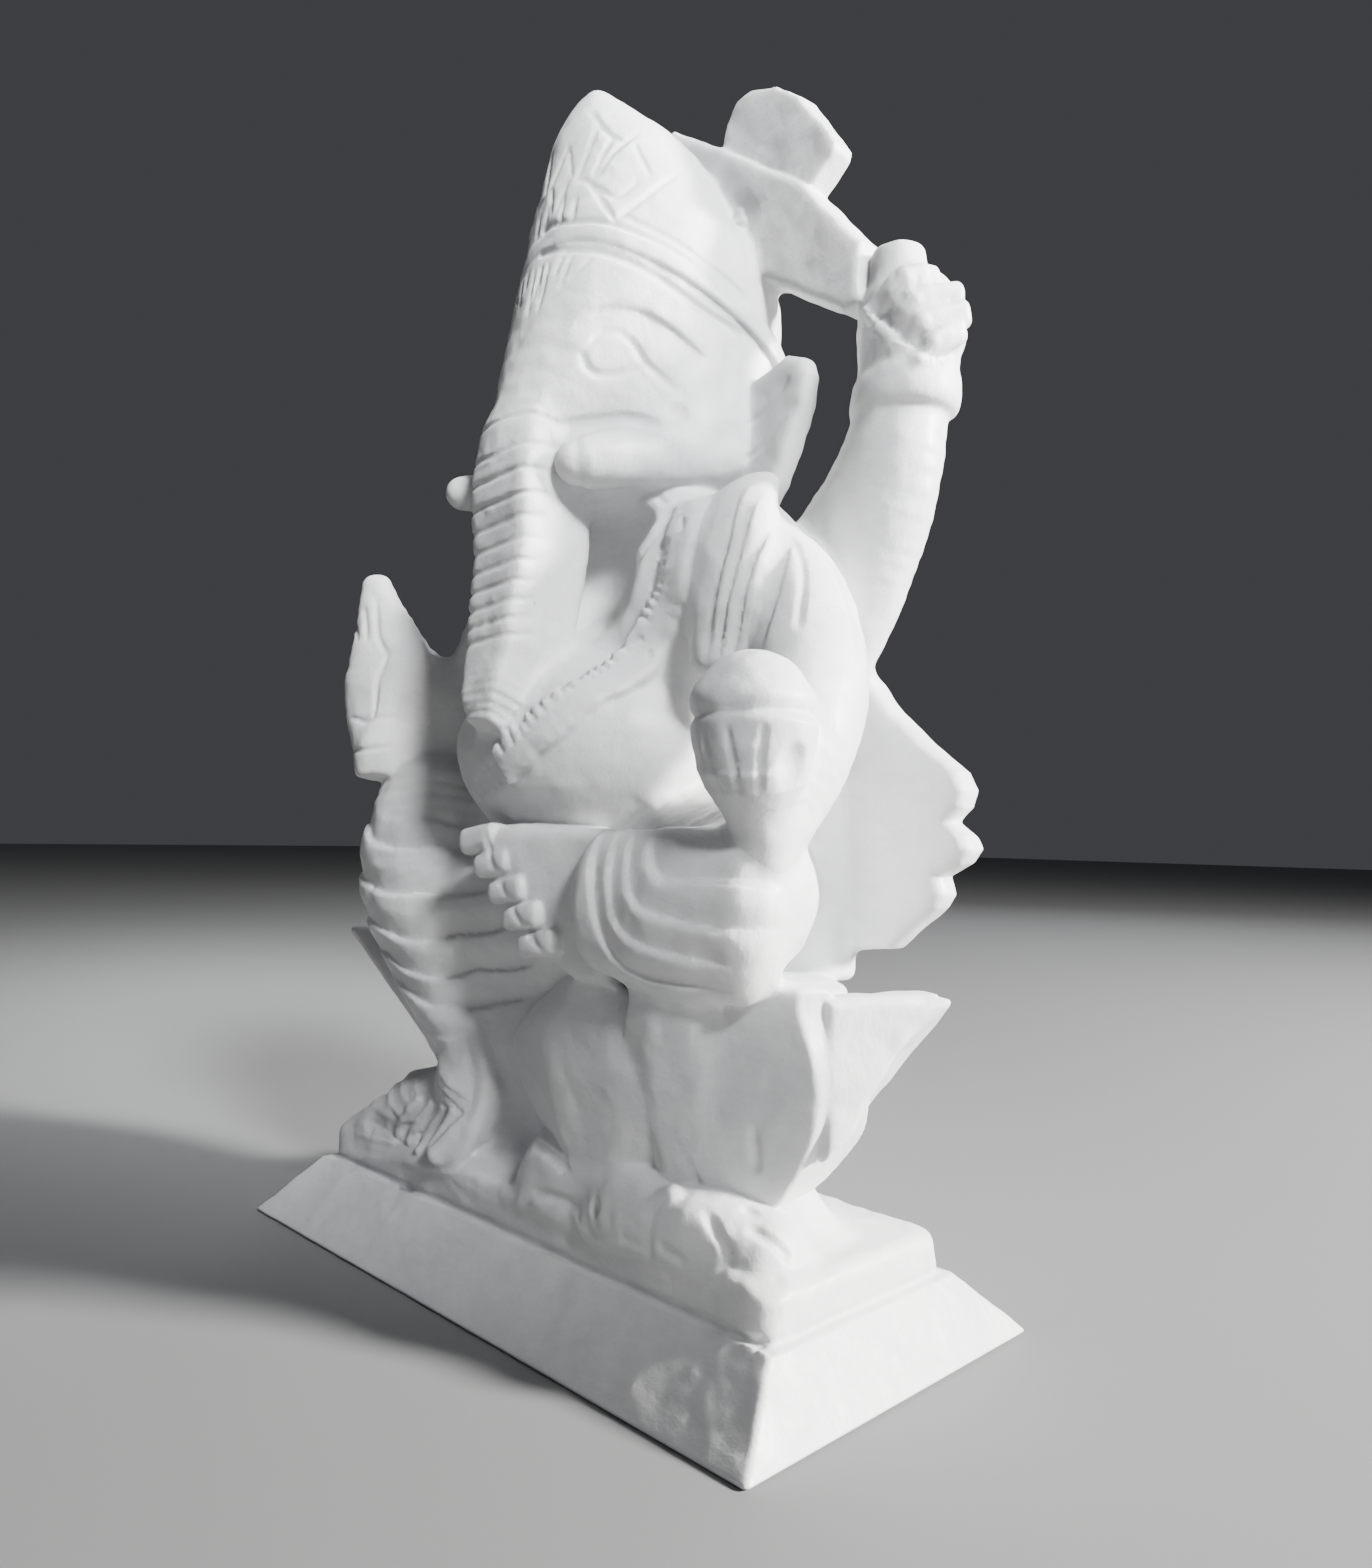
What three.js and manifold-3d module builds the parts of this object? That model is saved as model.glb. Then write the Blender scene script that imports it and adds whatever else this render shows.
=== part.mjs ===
// A seated four-armed elephant-headed figure carved in white marble: it sits on a lotus with one leg folded
// and one leg down, over a two-step plinth with a mouse and a sweet at its feet.
// Millimetres, +Z up, the face looks along -Y, the figure's left is +X, and the origin is the middle of the
// plinth's underside. The carver's members are separate meshes with a narrow joint between neighbours.
import * as THREE from "three";
import { mergeVertices } from "three/addons/utils/BufferGeometryUtils.js";
import Module from "manifold-3d";

const wasm = await Module();
wasm.setup();

// Driving dimensions
const GAP = 0.3; // clear joint between neighbouring members
const PLINTH = {
  foot: { x: 95.9, y: 47 }, // half sizes where the lower step stands
  block: { x: 85.6, y: 29.3 }, // half sizes of the upper step
  step: 15, // top of the lower step
  top: 24.2, // top of the upper step
};
const SEAT = 79; // top of the lotus
const BELLY = { centre: [1, -6, 132], radii: [38, 29, 27] };
const BACK_Y = 20; // middle of the slab behind the figure
const HAND_Y = -25; // how far forward the two lower hands are
const REAR_Y = 19; // how far back the two raised arms are
const TRUNK_Y = -27; // middle of the trunk's free length
const CROWN_TIP = 304.8;
const BAND_TILT = 18; // how much higher the crown's band is over the forehead than at the ears

const MARBLE = { color: 0xeeeef0, roughness: 0.42, metalness: 0 };
const FACETS = 9; // corners of a round section
const STEPS = 2; // rings between two stations of a limb
const CAP_BEND = 62; // degrees round which a limb's end turns before it is closed
const CORNER_STEPS = 3; // sides to a rounded corner of the plinth
const MERGE = 1e-4;

// ---- Solids ----

function solid(geometry) {
  const bare = new THREE.BufferGeometry();
  bare.setAttribute("position", geometry.getAttribute("position"));
  if (geometry.index) bare.setIndex(geometry.index);
  const merged = mergeVertices(bare, MERGE);
  return new wasm.Manifold(
    new wasm.Mesh({
      numProp: 3,
      vertProperties: merged.attributes.position.array,
      triVerts: new Uint32Array(merged.index.array),
    }),
  );
}

function geometryOf(body) {
  const { numVert, numProp, vertProperties, triVerts } = body.getMesh();
  const position = new Float32Array(numVert * 3);
  for (let i = 0; i < numVert; i++) {
    position.set(vertProperties.subarray(i * numProp, i * numProp + 3), i * 3);
  }
  const geometry = new THREE.BufferGeometry();
  geometry.setAttribute("position", new THREE.BufferAttribute(position, 3));
  geometry.setIndex(new THREE.BufferAttribute(triVerts, 1));
  geometry.computeVertexNormals();
  return geometry;
}

// A closed skin over rings of points. Each ring has as many points as the next, and runs counter-clockwise
// seen from the last ring.
function skin(rings) {
  const count = rings[0].length;
  const points = rings.flat();
  const faces = [];
  for (let r = 0; r + 1 < rings.length; r++) {
    for (let i = 0; i < count; i++) {
      const a = r * count + i;
      const b = r * count + ((i + 1) % count);
      faces.push(a, b, b + count, a, b + count, a + count);
    }
  }
  const cap = (ring, flip) => {
    const middle = new THREE.Vector3();
    for (const p of rings[ring]) middle.addScaledVector(p, 1 / count);
    const m = points.push(middle) - 1;
    for (let i = 0; i < count; i++) {
      const a = ring * count + i;
      const b = ring * count + ((i + 1) % count);
      faces.push(...(flip ? [m, b, a] : [m, a, b]));
    }
  };
  cap(0, true);
  cap(rings.length - 1, false);
  const geometry = new THREE.BufferGeometry();
  geometry.setAttribute("position", new THREE.Float32BufferAttribute(points.flatMap((p) => p.toArray()), 3));
  geometry.setIndex(faces);
  return solid(geometry);
}

// A stack of level rectangles [z, halfX, halfY] with rounded corners.
const tier = (levels, corner) => (grow) => {
  const quarter = Array.from({ length: CORNER_STEPS + 1 }, (_, k) => (k * Math.PI) / 2 / CORNER_STEPS);
  const rings = levels.map(([z, hx, hy], level) => {
    const rise = level === 0 ? -grow : level === levels.length - 1 ? grow : 0;
    return [0, 1, 2, 3].flatMap((side) => {
      const sx = side === 0 || side === 3 ? 1 : -1;
      const sy = side < 2 ? 1 : -1;
      return quarter.map((a) => {
        const angle = a + (side * Math.PI) / 2;
        const x = sx * (hx + grow - corner) + corner * Math.cos(angle);
        const y = sy * (hy + grow - corner) + corner * Math.sin(angle);
        return new THREE.Vector3(x, y, z + rise);
      });
    });
  });
  return skin(rings);
};

// A level stack of superellipse sections [z, centreX, centreY, halfX, halfY]. square is the exponent: 2 is an
// ellipse and 8 nearly a rectangle. taper makes the front (-Y) narrower than the back, and a sixth number tilts
// a level: it lifts the front, and drops the back, by that much.
const stack = (levels, { square = 2, taper = 0 } = {}) => (grow) => {
  const facets = FACETS * 2;
  const rings = levels.map(([z, cx, cy, hx, hy, tilt = 0], level) => {
    const rise = level === 0 ? -grow : level === levels.length - 1 ? grow : 0;
    return Array.from({ length: facets }, (_, i) => {
      const angle = (2 * Math.PI * (i + 0.5)) / facets;
      const [c, s] = [Math.cos(angle), Math.sin(angle)];
      const reach = (Math.abs(c) ** square + Math.abs(s) ** square) ** (-1 / square);
      const [x, y] = [c * reach, s * reach];
      const across = cx + (hx + grow) * x * (1 + taper * y);
      return new THREE.Vector3(across, cy + (hy + grow) * y, z + rise - tilt * y);
    });
  });
  return skin(rings);
};

function ellipsoid({ centre, radii }) {
  return (grow) => {
    const ball = new THREE.SphereGeometry(1, FACETS + 4, FACETS - 2).rotateX(Math.PI / 2);
    return solid(ball.scale(...radii.map((r) => r + grow)).translate(...centre));
  };
}

// A limb with round ends along stations [x, y, z, halfWidth, halfDepth]. The width lies along side.
const limb = (stations, { side = [1, 0, 0], facets = FACETS } = {}) => (grow) => {
  const path = new THREE.CatmullRomCurve3(stations.map(([x, y, z]) => new THREE.Vector3(x, y, z)));
  const count = (stations.length - 1) * STEPS;
  const across = new THREE.Vector3(...side);
  const frames = Array.from({ length: count + 1 }, (_, i) => {
    const t = i / count;
    const at = t * (stations.length - 1);
    const k = Math.min(Math.floor(at), stations.length - 2);
    const mix = (n) => THREE.MathUtils.lerp(stations[k][n], stations[k + 1][n], at - k) + grow;
    const along = path.getTangent(t);
    const u = across.clone().addScaledVector(along, -across.dot(along)).normalize();
    const v = new THREE.Vector3().crossVectors(along, u);
    return { middle: path.getPoint(t), along, u, v, width: mix(3), depth: mix(4) };
  });
  const ring = ({ middle, along, u, v, width, depth }, push, shrink) =>
    Array.from({ length: facets }, (_, i) => {
      const angle = (2 * Math.PI * i) / facets;
      return middle
        .clone()
        .addScaledVector(along, push * Math.min(width, depth))
        .addScaledVector(u, width * shrink * Math.cos(angle))
        .addScaledVector(v, depth * shrink * Math.sin(angle));
    });
  const [first, last] = [frames[0], frames[count]];
  const bend = THREE.MathUtils.degToRad(CAP_BEND);
  return skin([
    ring(first, -Math.sin(bend), Math.cos(bend)),
    ...frames.map((f) => ring(f, 0, 1)),
    ring(last, Math.sin(bend), Math.cos(bend)),
  ]);
};

// A flat slab: an outline [a, b] in its own plane, turned by place and thickened evenly on both sides.
const slab = (outline, thickness, place, bevel = 1.2) => (grow) => {
  const shape = new THREE.Shape(outline.map(([a, b]) => new THREE.Vector2(a, b)));
  const geometry = new THREE.ExtrudeGeometry(shape, {
    depth: thickness - 2 * bevel,
    bevelThickness: bevel + grow,
    bevelSize: bevel + grow,
    bevelOffset: -bevel,
    bevelSegments: 1,
  });
  geometry.translate(0, 0, bevel - thickness / 2);
  return solid(geometry.applyMatrix4(place));
};

// Stands a slab up at a point: its outline's a runs along +X and b up.
const upright = (x, y, z) =>
  new THREE.Matrix4().makeTranslation(x, y, z).multiply(new THREE.Matrix4().makeRotationX(Math.PI / 2));

// A lotus petal that leans out from its root: swell is the half width of its widest part, out its reach.
function petal({ root, angle, height, swell, out, thickness, tip = 0.3 }) {
  const turn = new THREE.Matrix4().makeTranslation(...root);
  turn.multiply(new THREE.Matrix4().makeRotationZ(angle));
  return (grow) => {
    const rings = [0, 0.15, 0.4, 0.65, 0.85, 1].map((t) => {
      const width = swell * THREE.MathUtils.lerp(Math.sin(Math.PI * (0.2 + 0.62 * t)), tip, t ** 6) + grow;
      const depth = thickness * (1 - 0.55 * t ** 3) + grow;
      const lean = out * t ** 1.6;
      const z = height * t + (t === 0 ? -grow : t === 1 ? grow : 0);
      return Array.from({ length: FACETS }, (_, i) => {
        const a = (2 * Math.PI * i) / FACETS;
        return new THREE.Vector3(width * Math.cos(a), depth * Math.sin(a) - lean, z).applyMatrix4(turn);
      });
    });
    return skin(rings);
  };
}

// ---- Plinth ----

function plinth() {
  const { foot, block, step, top } = PLINTH;
  const swell = 0.6; // how far the lower step's sloping sides bow outwards
  const edge = 1; // the square edge the lower step stands on
  const undercut = 1; // how far the upper step's foot is set in
  const chamfer = 2; // the upper step's worn top edge
  const corner = { lower: 2, upper: 4 };
  return {
    plinth_lower: tier(
      [
        [0, foot.x, foot.y],
        [edge, foot.x, foot.y],
        [step / 2, (foot.x + block.x) / 2 + swell, (foot.y + block.y) / 2 + swell],
        [step - GAP, block.x + GAP, block.y + GAP],
      ],
      corner.lower,
    ),
    plinth_upper: tier(
      [
        [step, block.x - undercut, block.y - undercut],
        [step + undercut, block.x, block.y],
        [top - chamfer, block.x, block.y],
        [top, block.x - chamfer, block.y - chamfer],
      ],
      corner.upper,
    ),
  };
}

// ---- What lies at the figure's feet ----

function offerings() {
  const floor = PLINTH.top + GAP;
  return {
    mouse_body: limb(
      [
        [50, -21, floor + 7, 7, 6.5],
        [59, -19, floor + 8, 9, 7.5],
        [69, -17, floor + 7, 7, 6.5],
      ],
      { side: [0, 1, 0] },
    ),
    mouse_head: limb(
      [
        [40, -25, floor + 5, 2.4, 2.8],
        [45, -23, floor + 7, 5, 5],
      ],
      { side: [0, 1, 0] },
    ),
    mouse_ear_left: ellipsoid({ centre: [49, -17.5, floor + 14], radii: [2, 3, 3.2] }),
    mouse_ear_right: ellipsoid({ centre: [48, -26, floor + 13.5], radii: [2, 3, 3.2] }),
    sweet_mound: stack([
      [floor, 14, -20, 14, 8],
      [floor + 9, 14, -20, 13, 7.6],
      [floor + 17, 14, -19, 9, 6],
      [floor + 20, 14, -18.5, 4, 3],
    ]),
  };
}

// ---- Lotus ----

function lotus() {
  const floor = PLINTH.top + GAP;
  const low = floor + 8;
  const wide = { height: SEAT - low - 1, swell: 28, out: 11, thickness: 11 };
  const inner = { height: SEAT - low - 8, swell: 12, out: 10, thickness: 5 };
  const sharp = { height: SEAT - low - 3, swell: 19, out: 26, thickness: 10, tip: 0.12 };
  const petals = {
    rear_left: { ...wide, root: [31, 18, low], angle: Math.PI - 0.08 },
    rear_right: { ...wide, root: [-27, 18, low], angle: Math.PI + 0.08 },
    side_right: { ...sharp, root: [-60, 13, low], angle: -1.75 },
    side_left: { ...sharp, root: [66, 10, low], angle: 1.72 },
    corner_right: { ...sharp, root: [-61, -6, low], angle: -0.85 },
    corner_left: { ...wide, root: [63, -10, low], angle: 0.75, swell: 20, tip: 0.5 },
    front_right: { ...wide, root: [-30, -6, low + 2], angle: -0.1, swell: 22, out: 6 },
    front_left: { ...wide, root: [27, -16, low], angle: 0.05, swell: 27, out: 8, tip: 0.2 },
    inner_left: { ...inner, root: [54, -15, low + 4], angle: 0.25 },
  };
  const parts = {
    lotus_core: stack([
      [floor, 4, 3, 66, 22],
      [floor + 12, 4, 3, 62, 20],
      [floor + 34, 3, 2, 68, 24],
      [SEAT - 4, 2, 2, 75, 27],
      [SEAT, 2, 2, 71, 24],
    ]),
  };
  for (const [place, shape] of Object.entries(petals)) parts[`lotus_petal_${place}`] = petal(shape);
  return parts;
}

// ---- Legs ----

function legs() {
  const flat = { side: [0, 0, 1] };
  return {
    left_thigh: limb(
      [
        [36, 0, 101, 19, 14],
        [54, -8, 99, 19, 14],
        [66, -16, 98, 17, 13],
      ],
      flat,
    ),
    left_shin: limb(
      [
        [68, -23, 94, 17.5, 10],
        [53, -27, 94, 17.5, 9],
        [39, -29, 95.5, 15.5, 8],
      ],
      flat,
    ),
    left_anklet: limb(
      [
        [37, -31, 97, 15, 8],
        [32, -32, 97, 14, 8],
      ],
      flat,
    ),
    left_foot: limb(
      [
        [27, -32, 96, 15, 7],
        [17, -33, 96, 16, 6.5],
        [7, -34.5, 98, 15, 5],
      ],
      { side: [0.75, 0, -0.9] },
    ),
    right_thigh: limb(
      [
        [-32, -2, 105, 14, 14],
        [-46, -11, 106, 15, 14],
      ],
      flat,
    ),
    right_shin: limb([
      [-54, -20, 112, 19, 13],
      [-52, -23, 95, 21, 13],
      [-42, -22, 77, 18, 11.5],
      [-31, -21, 62, 13, 10],
    ]),
    right_ankle: limb([
      [-26, -20, 54, 7.5, 7.5],
      [-27, -19, 44, 7.5, 7.5],
      [-30, -18, 36, 9, 8],
    ]),
    right_foot: limb(
      [
        [-35, -17, 34.5, 12, 6.5],
        [-39, -19, 31.5, 20, 5],
        [-41, -22, 29.2, 22, 3.6],
      ],
      { side: [1, 0, -0.2] },
    ),
  };
}

// ---- Trunk of the body ----

const DRAPE = [
  [-6, 12],
  [12, 14],
  [26, 26],
  [24, 31],
  [32, 37],
  [27, 43],
  [31, 50],
  [17, 63],
  [12, 68],
  [2, 80],
  [-6, 70],
];

function torso() {
  const [x] = BELLY.centre;
  const mirror = DRAPE.map(([a, b]) => [-a, b]).reverse();
  return {
    back_slab: stack(
      [
        [SEAT + GAP, x, BACK_Y, 62, 9],
        [110, x, BACK_Y, 62, 9],
        [150, x, BACK_Y, 58, 9],
        [172, x, BACK_Y - 1, 46, 8],
        [180, x, BACK_Y - 2, 36, 7],
      ],
      { square: 4 },
    ),
    hips: ellipsoid({ centre: [4, 4, 100], radii: [62, 20, 22] }),
    chest: stack([
      [140, x, 4, 38, 20],
      [158, x, 3, 42, 20],
      [174, x, 3, 48, 19],
      [184, x, 3, 42, 16],
      [192, x, 2, 26, 15],
    ]),
    belly: ellipsoid(BELLY),
    drape_left: slab(DRAPE, 9, upright(63, 25, 71)),
    drape_right: slab(mirror, 9, upright(-61, 25, 71)),
    shawl: limb(
      [
        [34, -12, 182, 9, 7],
        [47, -11, 174, 11, 8],
        [52, -13, 160, 11, 7],
        [50, -16, 146, 9, 4],
      ],
      { side: [1, 0, 0.4] },
    ),
    sacred_thread: limb(
      [
        [30, -15, 180, 3.4, 3],
        [28, -21, 166, 3.4, 3],
        [21, -28.5, 150, 3.4, 3],
        [8, -34, 136, 3.4, 3],
        [-8, -33, 128, 3.4, 3],
      ],
      { facets: 10 },
    ),
  };
}

// ---- Arms ----

function arms() {
  const shaft = [
    [-4, 26],
    [9, 17],
    [42, -7],
    [56, -25],
    [52, -40],
    [26, -24],
    [-4, -8],
  ];
  const blade = [
    [0, 0],
    [5, 12],
    [21, 8],
    [41.5, -16],
    [33, -24],
    [20, -14],
  ];
  return {
    raised_left_arm: limb([
      [54, REAR_Y, 158, 19, 9.5],
      [63, REAR_Y, 172, 18, 10],
      [73, REAR_Y, 188, 14, 10],
      [77, REAR_Y, 200, 11, 10],
    ]),
    raised_left_bracelet: stack([
      [205, 79, REAR_Y, 11, 10],
      [207, 79, REAR_Y, 13, 12],
      [213, 80, REAR_Y, 13, 12],
      [215, 80, REAR_Y, 10.5, 9.5],
    ]),
    raised_left_fist: limb([
      [81, REAR_Y, 219, 10, 9],
      [81, REAR_Y, 230, 14, 12],
      [80, REAR_Y, 236, 12, 10],
    ]),
    axe_handle_end: limb(
      [
        [77, REAR_Y, 246, 7, 6.5],
        [76.5, REAR_Y, 249, 7, 6.5],
      ],
      { facets: 10 },
    ),
    axe_shaft: slab(shaft, 12, upright(12, REAR_Y - 2, 274)),
    axe_blade: slab(blade, 10, upright(21.5, REAR_Y - 2, 289)),
    raised_right_arm: limb([
      [-46, REAR_Y + 2, 164, 13, 9],
      [-57, REAR_Y + 3, 178, 13, 9],
      [-62, REAR_Y + 4, 192, 10.5, 9],
      [-61, REAR_Y + 5, 201, 9.5, 8.5],
    ]),
    raised_right_bracelet: stack([
      [205, -60, REAR_Y + 5, 9, 8],
      [207, -60, REAR_Y + 5, 11, 10],
      [212, -59, REAR_Y + 5, 11, 10],
      [214, -59, REAR_Y + 5, 9, 8],
    ]),
    raised_right_fist: limb([
      [-58, REAR_Y + 5, 219, 9.5, 8.5],
      [-55, REAR_Y + 5, 228, 11, 9.5],
    ]),
    lotus_bud: limb(
      [
        [-52, REAR_Y + 5, 240, 5, 5],
        [-50, REAR_Y + 5, 248, 7.5, 7],
        [-48, REAR_Y + 5, 257, 3, 3],
      ],
      { facets: 10 },
    ),
    left_upper_arm: limb([
      [52, 0, 172, 11, 12],
      [61, -1, 158, 11, 12],
      [70, -3, 145, 12, 12],
      [73, -8, 132, 11, 11.5],
    ]),
    left_forearm: limb([
      [74, -14, 121, 9, 9],
      [76, -20, 115, 8.5, 8.5],
    ]),
    left_hand: limb([
      [76, HAND_Y, 118, 9, 8],
      [77, HAND_Y - 2, 126, 12.5, 10.5],
      [77, HAND_Y - 2, 131, 13, 11],
    ]),
    sweet_ball: ellipsoid({ centre: [76.5, HAND_Y - 2, 139], radii: [12, 11, 8] }),
    right_upper_arm: limb([
      [-46, 2, 172, 12, 12],
      [-55, 1, 156, 11, 11],
      [-56, -3, 138, 11, 11],
    ]),
    right_forearm: limb(
      [
        [-55, -8, 134, 13, 11],
        [-64, -20, 138, 15, 7.5],
      ],
      { side: [0, 0, 1] },
    ),
    right_bracelet: stack([
      [127, -68, HAND_Y + 1, 10, 8],
      [129, -68, HAND_Y + 1, 12, 9.5],
      [137, -69, HAND_Y + 1, 12, 9.5],
      [139, -69, HAND_Y + 1, 10.5, 8],
    ]),
    right_hand: limb(
      [
        [-69, HAND_Y + 1, 143, 13, 6],
        [-68, HAND_Y + 1, 154, 14.5, 6],
        [-72, HAND_Y, 168, 9.5, 5],
        [-74, HAND_Y - 1, 181, 4.5, 3.4],
      ],
      { side: [1, 0.5, 0] },
    ),
  };
}

// ---- Head ----

function head() {
  const leaf = { height: CROWN_TIP - 264, swell: 13, out: -13, thickness: 4.5, tip: 0.06 };
  const ear = [
    [-4, -14],
    [8, -18],
    [15, -8],
    [20, 2],
    [22, 12],
    [15, 17],
    [6, 14],
    [-4, 10],
  ];
  const mirror = ear.map(([a, b]) => [-a, b]).reverse();
  return {
    face: stack(
      [
        [189, 4, -8, 19, 13],
        [196, 4, -4, 32, 21],
        [208, 4, 0, 35, 27, 2],
        [224, 4, 2, 35, 29, 8],
        [238 - GAP, 4, 3, 34.5, 28, BAND_TILT],
      ],
      { square: 2.4, taper: 0.28 },
    ),
    crown_band: stack(
      [
        [238, 4, 3, 34.5, 28, BAND_TILT],
        [239, 4, 3, 36.5, 30, BAND_TILT],
        [243, 4, 3, 36, 29.5, BAND_TILT],
        [244, 4, 3, 34, 28, BAND_TILT],
      ],
      { square: 2.4, taper: 0.28 },
    ),
    crown: stack(
      [
        [244 + GAP, 4, 3, 34, 27, BAND_TILT],
        [260, 3, 2, 31.5, 25.5, BAND_TILT / 2],
        [273, 3, 1, 27, 22, 4],
        [286, 2, -1, 20, 17.5, 2],
        [296, 0.5, -4, 12.5, 11.5],
        [302, 0, -5, 5, 6],
      ],
      { square: 2.2, taper: 0.2 },
    ),
    crown_leaf: petal({ ...leaf, root: [2, -22, 264], angle: 0 }),
    ear_left: slab(ear, 8, upright(38, 12, 206)),
    ear_right: slab(mirror, 8, upright(-32, 12, 206)),
    tusk_left: limb(
      [
        [33, -9, 200, 6.5, 6.5],
        [20, -22, 196.5, 5.4, 5.4],
      ],
      { side: [0, 0, 1] },
    ),
    tusk_right: limb(
      [
        [-25, -14, 202, 6.5, 6],
        [-21, -31, 198, 4.2, 4.2],
      ],
      { side: [0, 0, 1] },
    ),
    trunk: limb([
      [2, TRUNK_Y + 5, 212, 15, 12],
      [2, TRUNK_Y, 196, 12, 11],
      [2, TRUNK_Y, 178, 11.5, 11],
      [1.5, TRUNK_Y - 2, 160, 10, 10],
      [2, TRUNK_Y - 6, 145, 8, 7.5],
      [2, TRUNK_Y - 9, 138, 5.5, 4.5],
    ]),
  };
}

// ---- Assembly ----

const REGIONS = { torso, head, lotus, legs, arms, offerings, plinth };

// A later member keeps its whole shape, and the earlier ones are cut back from it by the joint's gap.
function fitted(shapes) {
  return shapes.map(([name, shape], i) => {
    let body = shape(0);
    for (const [, later] of shapes.slice(i + 1)) {
      const cutter = later(GAP);
      if (!body.intersect(cutter).isEmpty()) body = body.subtract(cutter);
    }
    return [name, body];
  });
}

function member(name, body) {
  const mesh = new THREE.Mesh(geometryOf(body), new THREE.MeshStandardMaterial(MARBLE));
  mesh.name = name;
  return mesh;
}

const shapes = Object.values(REGIONS).flatMap((region) => Object.entries(region()));
const idol = new THREE.Group();
for (const [name, body] of fitted(shapes)) idol.add(member(name, body));

export default idol;
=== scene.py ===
"""A white marble elephant-headed figure, carved as one field of distances and skinned member by member.

The stone is a signed distance field in millimetres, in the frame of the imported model. Each member adds its
shape to the field, the carver's cuts are then worked into it, and each member gets a closed skin of its own
share of the stone. Neighbouring skins overlap a little inside the stone, so no joint shows between them.
"""

import math

import bpy
import numpy as np
from mathutils import Matrix, Vector


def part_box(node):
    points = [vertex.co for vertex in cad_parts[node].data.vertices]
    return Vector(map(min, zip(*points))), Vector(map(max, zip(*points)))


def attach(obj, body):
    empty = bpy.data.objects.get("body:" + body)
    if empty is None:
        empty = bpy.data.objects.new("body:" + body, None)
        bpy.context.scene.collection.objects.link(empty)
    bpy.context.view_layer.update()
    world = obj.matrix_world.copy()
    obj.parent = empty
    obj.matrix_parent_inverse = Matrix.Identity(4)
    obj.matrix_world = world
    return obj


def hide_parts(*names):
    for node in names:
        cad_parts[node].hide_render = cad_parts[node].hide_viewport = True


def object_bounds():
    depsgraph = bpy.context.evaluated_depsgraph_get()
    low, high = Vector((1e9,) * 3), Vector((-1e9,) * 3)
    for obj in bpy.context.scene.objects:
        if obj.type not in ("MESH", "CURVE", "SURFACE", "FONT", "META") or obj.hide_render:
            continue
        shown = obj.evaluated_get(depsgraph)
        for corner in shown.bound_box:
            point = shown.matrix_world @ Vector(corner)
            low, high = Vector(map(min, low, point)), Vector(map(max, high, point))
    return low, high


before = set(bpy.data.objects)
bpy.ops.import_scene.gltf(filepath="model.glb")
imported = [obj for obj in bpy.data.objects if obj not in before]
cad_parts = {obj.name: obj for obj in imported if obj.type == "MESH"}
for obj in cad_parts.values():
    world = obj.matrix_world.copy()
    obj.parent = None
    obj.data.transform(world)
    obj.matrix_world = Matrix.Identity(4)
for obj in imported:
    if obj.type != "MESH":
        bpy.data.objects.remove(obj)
CAD_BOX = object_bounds()

MM = 0.001
VOXEL = 0.55  # spacing of the field
PAD = 4.0  # how far outside a shape its distance is worked out
FAR = 6.0  # the distance given to stone that is further away than that
LAP = 1.2  # how far a skin runs on under its neighbour's
SINK = 0.12  # how deep it runs there
LEAD = 0.4  # how far past the border between them it has sunk that deep
ROOM = 4  # voxels between the model and the field's edge
KEEP = 0.3  # the part of its faces each skin keeps
TINY = 1e-6
HUGE = 1e9
SPECK = 1e-9
BODY, HEADS = "marble_body", "marble_head"  # the slots of most members
UP, DOWN = (0, 0, 1), (0, 0, -1)
CORNERS = [(i, j, k) for i in (0, 1) for j in (0, 1) for k in (0, 1)]  # of a cell


def box_mm(node):
    low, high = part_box(node)
    return np.array(low) / MM, np.array(high) / MM


def arr(*v):
    return np.array(v, np.float64)


def unit(v):
    v = np.asarray(v, float)
    return v / np.linalg.norm(v)


def flipped(outline):
    """An outline (a, b) with left and right changed over."""
    return [(-a, b) for a, b in outline][::-1]


# ---- Distances ----------------------------------------------------------------------------------------


def along(P, v, origin=(0, 0, 0)):
    """(P - origin) . v, skipping the axes v doesn't use so that flat arrays stay flat."""
    total = 0.0
    for p, k, o in zip(P, v, origin):
        if abs(k) > SPECK:
            total = total + (p - np.float32(o)) * np.float32(k)
    return total


def smin(a, b, k):
    if k <= 0:
        return np.minimum(a, b)
    h = np.maximum(k - np.abs(a - b), 0) / k
    return np.minimum(a, b) - h * h * (k * 0.25)


def smax(a, b, k):
    return -smin(-a, -b, k)


def oval(u, v, a, b, power=2):
    """Distance, nearly, to a superellipse of half sizes a and b. A power of 2 is an ellipse."""
    if power == 2:
        x, y = u / a, v / b
        k0 = np.sqrt(x * x + y * y) + TINY
        x, y = x / a, y / b
        slope = np.sqrt(x * x + y * y) / k0 + TINY
    else:
        x, y = np.abs(u / a), np.abs(v / b)
        xp, yp = x ** (power - 1), y ** (power - 1)
        k0 = (x * xp + y * yp + TINY) ** (1 / power)
        slope = np.sqrt((xp / a) ** 2 + (yp / b) ** 2) * k0 ** (1 - power) + TINY
    return np.maximum((k0 - 1) / slope, -np.minimum(a, b))


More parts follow.
